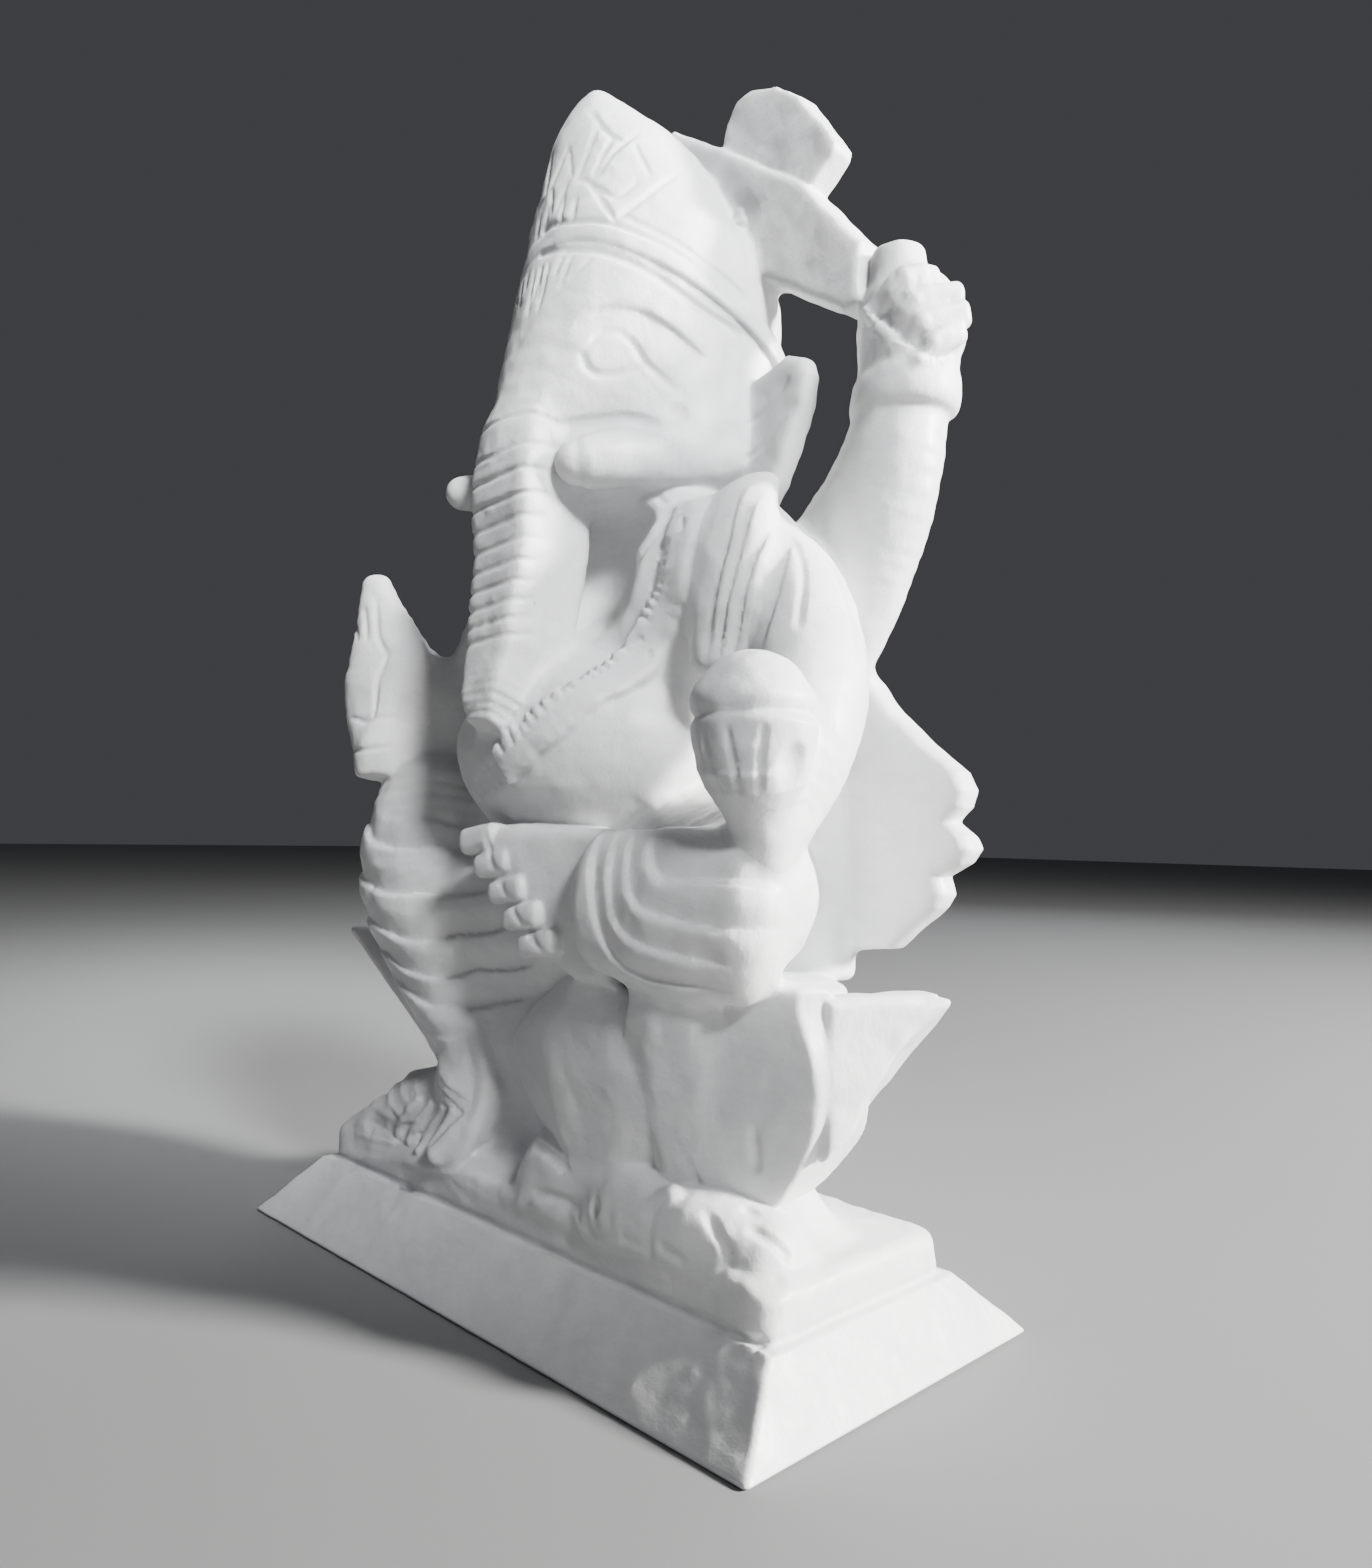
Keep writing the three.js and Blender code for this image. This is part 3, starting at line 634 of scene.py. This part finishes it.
member("sweet_ball", ["sweet_ball"], "marble_attributes", [
    (ellipsoid((76.5, HAND - 2, 136.5), (13, 11.8, 7)), 0),
    (ellipsoid((76.5, HAND - 2, 139), (10.5, 9.5, 7.5)), 2)], 0.8)
member("blessing_arm", ["right_upper_arm", "right_forearm"], BODY, [
    (limb([(-42, 2, 175, 12, 12), (-55, 1, 156, 11.5, 11.5), (-57, -4, 136, 12, 11.5)]), 0),
    (limb([(-55, 0, 138, 17, 11), (-61, -12, 140, 17, 9), (-66, -22, 144, 20, 7)], side=UP, power=3), 4),
], 4)
member("blessing_hand", ["right_bracelet", "right_hand"], BODY, [
    (stack([(125, -67.5, HAND + 1, 11, 8.5), (133, -68, HAND + 1, 12, 9), (139, -69, HAND + 1, 11.5, 8)],
           edge=2), 0),
    (limb([(-67, -23, 136, 13, 8), (-69, -24, 145, 14, 6.5), (-68, -24.5, 154, 14.5, 6),
           (-71.5, -25, 168, 9.5, 5), (-74, -26, 181, 4.5, 3.4)], side=(1, 0.5, 0)), 2),
], 2)

# ---- Head ---------------------------------------------------------------------------------------------

CROWN_TOP = box_mm("crown_leaf")[1][2]
HEAD = [(190, 4, -8, 19, 12), (197, 4, -4, 33, 21), (208, 4, 0, 35.5, 27), (226, 4, 2, 35, 29),
        (244, 4, 3, 34.5, 28), (262, 4, 3, 31.5, 25), (276, 3, 1, 27, 22)]
CROWN = [(246, 4, 3, 35, 27.5), (259, 3, 2, 32, 26), (272, 3, 1, 27.5, 22.5), (286, 2, -1, 20, 17.5),
         (296, 0.5, -5, 10, 9), (CROWN_TOP - 1, 0, -6.5, 1.2, 1.8)]
SKULL = dict(power=2.4, taper=0.28, edge=6)
TILT = 0.66  # the crown's band climbs this much for each millimetre towards the forehead
BAND = (237.2, 243.2)  # its edges, as height + TILT * y
PROUD = 2.6  # how far it stands out


def band(P):
    around = stack(HEAD, **SKULL)[0].f(P) - PROUD
    height = P[2] + TILT * P[1]
    return smax(around, (np.abs(height - sum(BAND) / 2) - (BAND[1] - BAND[0]) / 2) / math.hypot(1, TILT), 1.2)


member("head", ["face"], HEADS, [
    (stack(HEAD[:6], **SKULL), 0),
    (limb([(3, -6, 240, 23, 20), (2, -12, 226, 20, 17.5), (1, -18, 214, 16.5, 15.5), (1, -22, 204, 14, 14.5)],
          step=8), 12),
    (ellipsoid((4, -6, 202), (33, 16, 10)), 6),
], 3)
EAR = [(-4, -16), (8, -19), (13, -12), (17, -2), (20.5, 6), (22, 12), (20, 16), (15, 18), (6, 15), (-4, 10)]
member("ear_left", ["ear_left"], HEADS, [(slab(EAR, 7, (38, 11, 206), bevel=1.5), 0)], 1.5)
member("ear_right", ["ear_right"], HEADS, [
    (slab(flipped(EAR), 7, (-32, 11, 206), bevel=1.5), 0)], 1.5)
member("crown", ["crown", "crown_leaf"], HEADS, [
    (stack(CROWN, power=2.1, taper=0.2, edge=3, tilt=0.2), 0)], 1.5)
member("crown_band", ["crown_band"], HEADS, [
    ([Shape((-42, -32, 212), (46, 38, 264), band)], 0)], 0.6)
member("trunk", ["trunk"], HEADS, [
    (limb([(1, -18, 212, 9, 8), (1.5, -24, 203, 11.5, 11), (2, -26.5, 195, 12, 11), (2, -27, 188, 12, 11),
           (2, -27, 178, 11.5, 11), (1.5, -28, 166, 10.5, 10.5), (1.5, -30, 154, 9.5, 9.5),
           (2, -33.5, 144, 8, 7.5), (2, -37, 137, 5, 4)], power=6, step=3, cap=0.7), 0)], 4)
member("tusk_left", ["tusk_left"], HEADS, [
    (limb([(33, -5, 199, 5.5, 5.5), (27, -15.5, 198.5, 6.8, 6.5), (21.5, -23.5, 197.5, 6.5, 6.4),
           (19, -26.5, 197, 5.3, 5.3)], side=UP), 0)], 1.0)
member("tusk_right", ["tusk_right"], HEADS, [
    (limb([(-26, -10, 203, 7, 6.5), (-22, -31, 197, 4.4, 4.4)], side=UP), 0)], 1.5)


# ---- The carver's cuts --------------------------------------------------------------------------------

rng = np.random.default_rng(5)
FACE_X = 4  # the head's middle


def mirrored(points):
    """The same cut on the other side of the head."""
    return [(2 * FACE_X - x, y, z) for x, y, z in points]


def cuts(width, depth, lines, lap=None, both=False, **how):
    """Carves several lines alike, and with both also on the head's other side, where they are shallower."""
    for line in lines:
        carve(line, width, depth, lap, **how)
        if both:
            carve(mirrored(line), width, 0.7 * depth, lap, **how)


# the plinth's steps are cut apart by a groove, with the marks of the point chisel along it
MARK = 3.2  # one chisel mark to each of these lengths
hx, hy = block[:2]
ring = [(hx, -hy), (-hx, -hy), (-hx, hy), (hx, hy), (hx, -hy)]
for (ax, ay), (bx, by) in zip(ring, ring[1:]):
    cuts(2.6, 1.4, [[(ax, ay, STEP + 0.4), (bx, by, STEP + 0.4)]], snap=False, taper=False)
    length = math.hypot(bx - ax, by - ay)
    for i in range(int(length / MARK)):
        t = (i + rng.uniform(0.2, 0.8)) * MARK / length
        x, y = ax + (bx - ax) * t, ay + (by - ay) * t
        dx, dy = (bx - ax) / length, (by - ay) / length
        run, drop = rng.uniform(1.5, 4.5), rng.uniform(1.0, 3.6)
        out = 1.2 * drop
        x, y = x + out * dy, y - out * dx
        cuts(1.3, 0.45, [[(x, y, STEP - drop), (x + run * dx, y + run * dy, STEP - drop)]])

# the right leg's cloth lies in bands, each over the next
cuts(6.5, 1.5, [
    [(-70, -16, 113), (-60, -30, 108), (-48, -34, 105), (-34, -27, 105), (-22, -28, 106)],
    [(-72, -18, 101), (-62, -32, 96), (-50, -36, 93), (-36, -32, 93), (-20, -31, 94), (-4, -30, 97)],
    [(-70, -18, 91), (-60, -32, 85), (-48, -35, 82), (-36, -33, 81), (-22, -31, 83), (-8, -30, 85),
     (4, -29, 88)],
    [(-60, -24, 80), (-51, -32, 76), (-43, -34, 73), (-32, -33, 72), (-18, -30, 73), (-4, -29, 75),
     (10, -28, 79)],
    [(-50, -28, 71), (-42, -32, 67), (-33, -32, 65), (-24, -29, 65), (-12, -26, 66), (0, -24, 69)],
], lap=UP)
cuts(4, 0.6, [
    [(-42, -28, 60), (-32, -30, 57), (-22, -27, 58)], [(-52, -33, 113), (-38, -30, 114), (-28, -24, 114)],
], lap=UP)
# the left leg's folds nest round the ankle
cuts(5.5, 1.5, [
    [(39, -36, 109), (41, -38, 98), (44, -37, 88), (50, -34, 82), (60, -32, 79), (70, -30, 77.5)],
    [(44, -36, 109), (46, -38, 98), (49, -37, 91), (56, -36, 87), (66, -33, 85), (74, -29, 84)],
    [(48, -35, 110), (50, -37, 102), (54, -37, 96), (62, -35, 93), (72, -31, 91.5), (80, -24, 91)],
    [(53, -33, 110), (56, -35, 104), (61, -35, 101.5), (70, -31, 101), (79, -25, 100)],
], lap=(0.7, 0, 0.7))
# the left foot: the toes end in a crease
cuts(2.2, 0.8, [[(1, -39, 111), (4, -39, 103), (10, -38, 95), (17, -37, 88), (24, -35, 83)]])
# ringed trunk
for i in range(11):
    z = 206 - 6.3 * i + 0.12 * i * i
    y = -38 + 0.01 * (z - 175) ** 2 * (z > 175)
    cuts(1.9, 0.85, [[(-9, y + 6, z - 1), (-7, y, z - 0.5), (1, y - 0.5, z), (9, y, z + 0.6),
                      (12.5, y + 6, z + 1.5)]])
# eyes, brows and lips
cuts(2.6, 1.3, [
    [(21, -26, 225), (23, -24, 228), (26, -21, 228.6), (29, -19, 226), (30.5, -17, 222), (33, -15, 219),
     (36, -12, 216)],
    [(19.5, -27, 223.5), (21.5, -26, 219.5), (24, -24, 218), (28, -20, 219), (31, -17, 221)],
], both=True)
cuts(7, 1.2, [[(20, -26, 232), (24, -23, 234.5), (29, -18, 234), (34, -12, 230.5), (39, -7, 226)]],
     lap=DOWN, both=True)
cuts(2.4, 0.9, [[(15, -31, 206), (20, -26, 207.5), (26, -20, 208), (32, -15, 207)],
                [(24, -20, 189.5), (33, -12, 190), (40, -6, 192)]], both=True)
cuts(4.0, 1.7, [[(15, -28, 204), (19, -27, 206.5), (23, -23, 207), (28, -19, 207.5), (34, -15, 206)]])
cuts(4.0, 1.5, [[(15, -24, 191), (20, -20, 190), (27, -14, 190)]])
hollow((36, -10, 209.5), (3, 3, 3), 1.0)
# locks of hair below the crown's band
cuts(1.8, 0.8, [
    [(11, -27, 251), (10, -29, 245)], [(14, -26, 250), (12, -29, 241)], [(20, -24, 248), (14, -28, 243)],
    [(7, -28, 250), (6, -31, 236)], [(4, -28, 250), (3, -31, 240)],
], both=True)
# the crown's pattern: slanting strokes about a small triangle, and a panel at the side
cuts(2.0, 1.0, [
    [(8, -16, 292), (14, -16, 284), (19, -14, 280)], [(12, -17, 286), (10, -22, 271)],
    [(16, -15, 283), (14, -20, 270)], [(20, -10, 284), (17, -17, 276), (15, -20, 270)],
    [(20, -12, 280), (25, -11, 270)],
    [(10, -22, 271), (14, -21, 269), (22, -19, 257)], [(22, -19, 258), (25, -15, 262), (29, -5, 272)],
    [(4, -20, 283), (8, -22, 272)], [(1, -22, 272), (3, -24, 264)], [(7, -23, 268), (7, -24, 260)],
    [(11, -22, 266), (11, -24, 260)], [(15, -20, 268), (20, -17, 264), (24, -13, 269)],
], both=True)
panel = [(24, -3, 283), (31, 4, 277), (36, 8, 268), (40, 8, 257)]
cuts(5, 1.1, [panel], lap=(1, 0, 0))
cuts(5, 1.1, [mirrored(panel)], lap=(-1, 0, 0))
cuts(2.2, 0.8, [[(22, -18, 259), (30, -10, 253), (37, 0, 246), (41, 8, 240)]], both=True)
# the band stands clear of the crown and the face
cuts(2.8, 1.2, [
    [(0, -25, 261.5), (14, -24, 259), (21, -21, 257), (31, -13, 251.5), (37, -6, 246), (42, 5, 238)],
    [(2, -26, 253.5), (13, -25, 251), (20, -22, 249), (30, -14, 243), (37, -5, 236), (41, 5, 231.5)],
], taper=False)
# ears
cuts(2.0, 0.9, [[(55, 7, 218), (49, 7, 213), (43, 6, 209)], [(57, 7, 212), (50, 7, 206), (42, 6, 200)]],
     both=True)
# neckline, and the teeth along the garland's edge
cuts(3.2, -1.1, [[(33, -13, 184), (27, -13, 177), (21, -13, 170), (15, -14, 162)]])
cuts(2.6, 0.8, [[(36, -13, 185), (31, -13, 177), (25, -15, 169), (19, -17, 161)]])
teeth = settle(curve(GARLAND, 3.0))
for a, b in zip(teeth[1:-1], teeth[2:]):
    out = unit(slope_at(a[None])[0])
    across = unit(np.cross(out, b - a))
    if across[0] > 0:
        across = -across
    carve([a + 2.4 * across + 0.5 * out, a + 6 * across], 1.8, 1.0, taper=False)
for i in range(6):  # the last teeth are cut into the belly itself
    carve([(4 - 3.4 * i, -36, 127 - 1.5 * i), (6 - 3.4 * i, -36, 122.5 - 1.2 * i)], 2.2, 1.1, taper=False)
# the shawl's pleats, over the shoulder and down the arm
cuts(5.2, 0.8, [
    [(56, -9, 187), (57, -15, 176), (55, -17, 163), (53, -17, 150)],
    [(60, -9, 184), (60, -14, 172), (58, -16, 160), (56, -16, 148)],
    [(64, -7, 181), (63, -13, 169), (61, -15, 156), (59, -15, 146)],
    [(67, -5, 176), (69, -11, 164), (68, -14, 151)],
], lap=(-1, 0, 0))
cuts(2.6, 0.9, [[(67, -4, 177), (73, -8, 167), (76, -13, 153)],
                [(66, 2, 178), (72, 1, 170), (79, -1, 158), (82, -3, 147)]])
# fingers round the sweet, and on the blessing hand
cuts(2.0, 1.1, [
    [(86, -34, 131), (86, -35, 125), (84, -33, 117)], [(80, -38, 131), (81, -37, 123), (80, -34, 117)],
    [(74, -38, 130), (75, -37, 123), (76, -34, 116)],
])
hollow((89, -29, 123), (4, 4, 6), 3.0)
cuts(2.4, 1.2, [
    [(-62, -29, 161), (-65, -31, 151), (-65, -33, 141)], [(-70, -29, 177), (-67, -30, 166), (-63, -29, 160)],
    [(-74, -29, 174), (-71, -30, 164)], [(-78, -27, 172), (-75, -29, 164)],
])
cuts(2.0, 0.8, [[(-76, -30, 142), (-68, -33, 141), (-58, -27, 142)],
                [(-77, -30, 133), (-68, -33, 132), (-58, -28, 133)]])
# the right foot: four toes, the big toe apart, and the tendon that runs down to it
for i in range(4):
    root, end = (-41.5 + 6 * i, -27, 38), (-51.5 + 6.8 * i, -28.5 - i, 28)
    cuts(3.4, -1.5, [[root, end]], taper=False)
    cuts(2.6, 1.5, [[(root[0] + 3, root[1], root[2]), (end[0] + 3.2, end[1] - 0.4, end[2])]], taper=False)
cuts(6, -2.0, [[(-18.5, -26, 60), (-18, -23, 51), (-17, -23, 44), (-17, -25, 37), (-23, -29, 25)]], soft=True)
# the fist: the palm's edge below the fingers
cuts(4.5, 1.3, [[(77, 8, 228), (83, 8, 221), (89, 11, 215), (94, 17, 214)]], lap=UP)
# the mouse, the sweets and the slope they lie on
cuts(3.0, 1.6, [[(7, -27, 37), (16, -28, 36), (24, -27, 33)], [(13, -29, 27), (26, -26, 28)],
                [(71, -22, 50), (72, -19, 36)], [(73, -22, 33), (78, -17, 27)], [(56, -29, 27), (62, -28, 25)],
                [(64, -25, 34), (72, -24, 26)]])
hollow((36, -30, FLOOR + 5), (2.5, 2.5, 2.5), 1.2)
cuts(3.0, -1.1, [[(24, -27, 24.5), (38, -28, 24.5), (52, -28, 24.5)], [(13, -30, 24.5), (20, -29, 27)]])


def waves(points, size, seed):
    """Smooth noise from -1 to 1, with this spacing in millimetres. It repeats after 32 of them."""
    side = 32
    table = np.random.default_rng(seed).uniform(-1, 1, (side, side, side)).astype(np.float32)
    g = points / size
    i = np.floor(g).astype(int)
    t = (g - i).astype(np.float32)
    t = t * t * (3 - 2 * t)
    return trilinear(t, lambda *step: table[tuple((i[:, k] + step[k]) % side for k in range(3))])


# the whole surface is a little uneven, as rubbed-down chisel work is
near = np.nonzero(np.abs(field) < 1.6)  # well past the deepest wave
at = np.stack([AXES[i][near[i]] for i in range(3)], 1)
level = np.clip((at[:, 2] - 0.5) / 3, 0, 1)  # the underside is flat
field[near] += level * (0.3 * waves(at, 7.0, 1) + 0.15 * waves(at, 2.8, 2))
del near, at


# ---- Skins --------------------------------------------------------------------------------------------


def nets(solid):
    """A closed quad skin over the part of an array below 0: points in cells, and quads."""
    inside = solid < 0
    total = sum(inside[i : i - 1 or None, j : j - 1 or None, k : k - 1 or None].astype(np.uint8)
                for i, j, k in CORNERS)
    cells = np.argwhere((total > 0) & (total < 8))
    number = np.full(total.shape, -1, np.int32)
    number[tuple(cells.T)] = np.arange(len(cells))
    value = {c: solid[cells[:, 0] + c[0], cells[:, 1] + c[1], cells[:, 2] + c[2]] for c in CORNERS}
    place, hits = np.zeros((len(cells), 3)), np.zeros(len(cells))
    for axis in range(3):
        for c in value:
            if c[axis]:
                continue
            d = tuple(v + (i == axis) for i, v in enumerate(c))
            a, b = value[c], value[d]
            cross = (a < 0) != (b < 0)
            t = np.where(cross, a / np.where(cross, a - b, 1), 0)
            at = np.repeat(np.array([c], float), len(cells), 0)
            at[:, axis] += t
            place += at * cross[:, None]
            hits += cross
    points = cells + place / hits[:, None]
    quads = []
    for axis in range(3):
        one, two = (axis + 1) % 3, (axis + 2) % 3
        low = tuple(slice(None, -1) if i == axis else slice(1, -1) for i in range(3))
        high = tuple(slice(1, None) if i == axis else slice(1, -1) for i in range(3))
        flip = inside[low] != inside[high]
        edges = np.argwhere(flip)
        out = inside[low][tuple(edges.T)]
        edges[:, one] += 1
        edges[:, two] += 1
        ring = []
        for a, b in ((0, 0), (-1, 0), (-1, -1), (0, -1)):
            cell = edges.copy()
            cell[:, one] += a
            cell[:, two] += b
            ring.append(number[tuple(cell.T)])
        ring = np.stack(ring, 1)
        quads.append(np.where(out[:, None], ring, ring[:, ::-1]))
    return points, np.vstack(quads)


def skin(index):
    """The skin of the stone that is nearer to this member than to any other, and of LAP more."""
    name, nodes, slot, w, own = members[index]
    others = np.where(owner[w] == index + 1, runner_up[w], nearest[w])
    share = (own - others) * 0.5
    body = field[w] + SINK * np.clip(share / LEAD, 0, 1)
    solid = np.maximum(body, share - LAP)
    solid = np.pad(solid, 1, constant_values=FAR)
    if not (solid < 0).any():
        raise ValueError(name + " has no stone of its own")
    points, quads = nets(solid)
    base = LOW + VOXEL * (np.array([s.start for s in w]) - 1)
    co = base + VOXEL * points
    for _ in range(2):  # each point is drawn to the surface, by 0.3 of a cell at most
        g = (co - base) / VOXEL
        value = sample_at(solid, g)
        slope = np.stack([
            sample_at(solid, g + 0.5 * e) - sample_at(solid, g - 0.5 * e) for e in np.eye(3)], 1)
        step = -value[:, None] * slope / np.maximum((slope**2).sum(1, keepdims=True), 0.08)
        length = np.linalg.norm(step, axis=1, keepdims=True)
        co = co + VOXEL * step * np.minimum(1, 0.3 / np.maximum(length, TINY))
    mesh = bpy.data.meshes.new(name)
    mesh.vertices.add(len(co))
    mesh.vertices.foreach_set("co", (co * MM).astype(np.float32).ravel())
    mesh.loops.add(quads.size)
    mesh.loops.foreach_set("vertex_index", quads.astype(np.int32).ravel())
    mesh.polygons.add(len(quads))
    mesh.polygons.foreach_set("loop_start", np.arange(0, quads.size, 4, dtype=np.int32))
    mesh.polygons.foreach_set("use_smooth", np.ones(len(quads), bool))
    mesh.update(calc_edges=True)
    mesh.validate()
    piece = bpy.data.objects.new("carved_" + name, mesh)
    bpy.context.scene.collection.objects.link(piece)
    thin(piece)
    return piece, nodes, slot


def thin(piece):
    """Fewer faces where the skin is flat."""
    work = piece.modifiers.new("thin", "DECIMATE")
    work.ratio = KEEP
    graph = bpy.context.evaluated_depsgraph_get()
    mesh = bpy.data.meshes.new_from_object(piece.evaluated_get(graph))
    piece.modifiers.clear()
    piece.data = mesh
    mesh.polygons.foreach_set("use_smooth", np.ones(len(mesh.polygons), bool))


# ---- Marble -------------------------------------------------------------------------------------------


def marble(name):
    """White marble: faint grey clouds and veins, a fine grain, and the marks of the tool."""
    material = bpy.data.materials.new(name)
    material.use_nodes = True
    nodes, links = material.node_tree.nodes, material.node_tree.links
    bsdf = nodes["Principled BSDF"]
    bsdf.inputs["Roughness"].default_value = 0.42
    bsdf.inputs["IOR"].default_value = 1.5
    bsdf.inputs["Subsurface Weight"].default_value = 0.15
    bsdf.inputs["Subsurface Radius"].default_value = (1.0, 0.92, 0.85)
    bsdf.inputs["Subsurface Scale"].default_value = 0.0025
    bsdf.inputs["Coat Weight"].default_value = 0.12
    bsdf.inputs["Coat Roughness"].default_value = 0.3

    def node(kind, **inputs):
        n = nodes.new(kind)
        for key, v in inputs.items():
            n.inputs[key.replace("_", " ")].default_value = v
        return n

    place = node("ShaderNodeTexCoord")

    def noise(scale, detail, rough, stretch=None):
        n = node("ShaderNodeTexNoise", Scale=scale, Detail=detail, Roughness=rough)
        source = place.outputs["Object"]
        if stretch:
            m = node("ShaderNodeMapping")
            m.inputs["Scale"].default_value = stretch
            links.new(source, m.inputs["Vector"])
            source = m.outputs["Vector"]
        links.new(source, n.inputs["Vector"])
        return n.outputs["Fac"]

    def ramp(fac, stops):
        n = nodes.new("ShaderNodeValToRGB")
        links.new(fac, n.inputs["Fac"])
        while len(n.color_ramp.elements) < len(stops):
            n.color_ramp.elements.new(0.5)
        for e, (at, colour) in zip(n.color_ramp.elements, stops):
            e.position = at
            e.color = (*colour, 1)
        return n.outputs["Color"]

    def blend(kind, fac, a, b):
        n = nodes.new("ShaderNodeMix")
        n.data_type = "RGBA"
        n.blend_type = kind
        n.inputs["Factor"].default_value = fac
        links.new(a, n.inputs["A"])
        links.new(b, n.inputs["B"])
        return n.outputs["Result"]

    clouds = ramp(noise(22, 4, 0.6), [(0.3, (0.74, 0.75, 0.765)), (0.62, (0.86, 0.86, 0.855))])
    veins = ramp(noise(55, 6, 0.7, (1, 1, 2.2)),
                 [(0.44, (1, 1, 1)), (0.5, (0.93, 0.935, 0.945)), (0.56, (1, 1, 1))])
    grain = ramp(noise(1700, 3, 0.7), [(0.3, (0.93, 0.93, 0.93)), (0.7, (1, 1, 1))])
    colour = blend("MULTIPLY", 0.7, clouds, veins)
    colour = blend("MULTIPLY", 0.6, colour, grain)
    links.new(colour, bsdf.inputs["Base Color"])
    gloss = node("ShaderNodeMapRange")
    links.new(noise(140, 4, 0.6), gloss.inputs["Value"])
    gloss.inputs["From Min"].default_value, gloss.inputs["From Max"].default_value = 0.3, 0.7
    gloss.inputs["To Min"].default_value, gloss.inputs["To Max"].default_value = 0.36, 0.56
    links.new(gloss.outputs["Result"], bsdf.inputs["Roughness"])

    tool = node("ShaderNodeBump", Strength=0.35, Distance=0.0006)
    links.new(noise(260, 3, 0.55, (1, 1.6, 0.8)), tool.inputs["Height"])
    fine = node("ShaderNodeBump", Strength=0.3, Distance=0.00015)
    links.new(noise(1500, 4, 0.7), fine.inputs["Height"])
    links.new(tool.outputs["Normal"], fine.inputs["Normal"])
    links.new(fine.outputs["Normal"], bsdf.inputs["Normal"])
    return material


stone = marble("white_marble")
for index in range(len(members)):
    piece, nodes, slot = skin(index)
    piece.data.materials.append(stone)
    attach(piece, "root")
    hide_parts(*nodes)

# ---- Floor, light and camera --------------------------------------------------------------------------


def floor():
    size = 6.0
    z = CAD_BOX[0][2] - 0.0002  # just clear of the underside
    mesh = bpy.data.meshes.new("floor")
    corners = [(-size, -size, z), (size, -size, z), (size, size, z), (-size, size, z)]
    mesh.from_pydata(corners, [], [(0, 1, 2, 3)])
    thing = bpy.data.objects.new("floor", mesh)
    bpy.context.scene.collection.objects.link(thing)
    paint = bpy.data.materials.new("floor_paint")
    paint.use_nodes = True
    tree = paint.node_tree
    bsdf = tree.nodes["Principled BSDF"]
    bsdf.inputs["Roughness"].default_value = 0.9
    texture = tree.nodes.new("ShaderNodeTexNoise")
    texture.inputs["Scale"].default_value = 3.0
    ramp = tree.nodes.new("ShaderNodeValToRGB")
    ramp.color_ramp.elements[0].color = (0.2, 0.2, 0.205, 1)
    ramp.color_ramp.elements[1].color = (0.22, 0.22, 0.222, 1)
    tree.links.new(texture.outputs["Fac"], ramp.inputs["Fac"])
    tree.links.new(ramp.outputs["Color"], bsdf.inputs["Base Color"])
    mesh.materials.append(paint)


def light(name, place, target, size, power, colour, spread=180):
    """A round soft light at place, aimed at target, in metres, watts and degrees."""
    data = bpy.data.lights.new(name, "AREA")
    data.shape, data.size, data.energy, data.color = "DISK", size, power, colour
    data.spread = math.radians(spread)
    lamp = bpy.data.objects.new(name, data)
    lamp.location = place
    lamp.rotation_euler = (Vector(target) - Vector(place)).to_track_quat("-Z", "Y").to_euler()
    bpy.context.scene.collection.objects.link(lamp)


def camera():
    """Looks at the figure's front left side, a little upwards, and tips slightly to one side."""
    azimuth, pitch, roll = (math.radians(a) for a in (45.65, 2.5, 1.1))
    flat = math.cos(pitch)
    look = Vector((-math.sin(azimuth) * flat, math.cos(azimuth) * flat, math.sin(pitch)))
    right = Vector((math.cos(azimuth), math.sin(azimuth), 0))
    up = right.cross(look)
    right, up = (math.cos(roll) * right + math.sin(roll) * up, math.cos(roll) * up - math.sin(roll) * right)
    data = bpy.data.cameras.new("camera")
    data.sensor_width, data.lens = 36.0, 26.17
    data.clip_start, data.clip_end = 0.01, 20
    eye = bpy.data.objects.new("camera", data)
    turn = Matrix((right, up, -look)).transposed().to_4x4()
    eye.matrix_world = Matrix.Translation((0.2272, -0.1923, 0.1103)) @ turn
    bpy.context.scene.collection.objects.link(eye)
    bpy.context.scene.camera = eye


world = bpy.data.worlds.new("studio")
world.use_nodes = True
world.node_tree.nodes["Background"].inputs["Color"].default_value = (0.72, 0.76, 0.82, 1)
world.node_tree.nodes["Background"].inputs["Strength"].default_value = 0.075
bpy.context.scene.world = world
floor()
light("key", (1.2, 0.66, 0.6), (0, 0, 0.14), 0.22, 120, (1.0, 0.99, 0.96))
light("top", (0.84, -0.2, 0.85), (0.0, 0, 0.3), 0.35, 1.2, (0.97, 0.98, 1.0), spread=20)
light("fill", (-0.9, -1.3, 0.5), (0, 0, 0.15), 1.2, 0.3, (0.88, 0.93, 1.0))
light("rim", (-0.5, 1.2, 0.9), (0, 0, 0.2), 0.8, 6, (0.9, 0.95, 1.0))
camera()
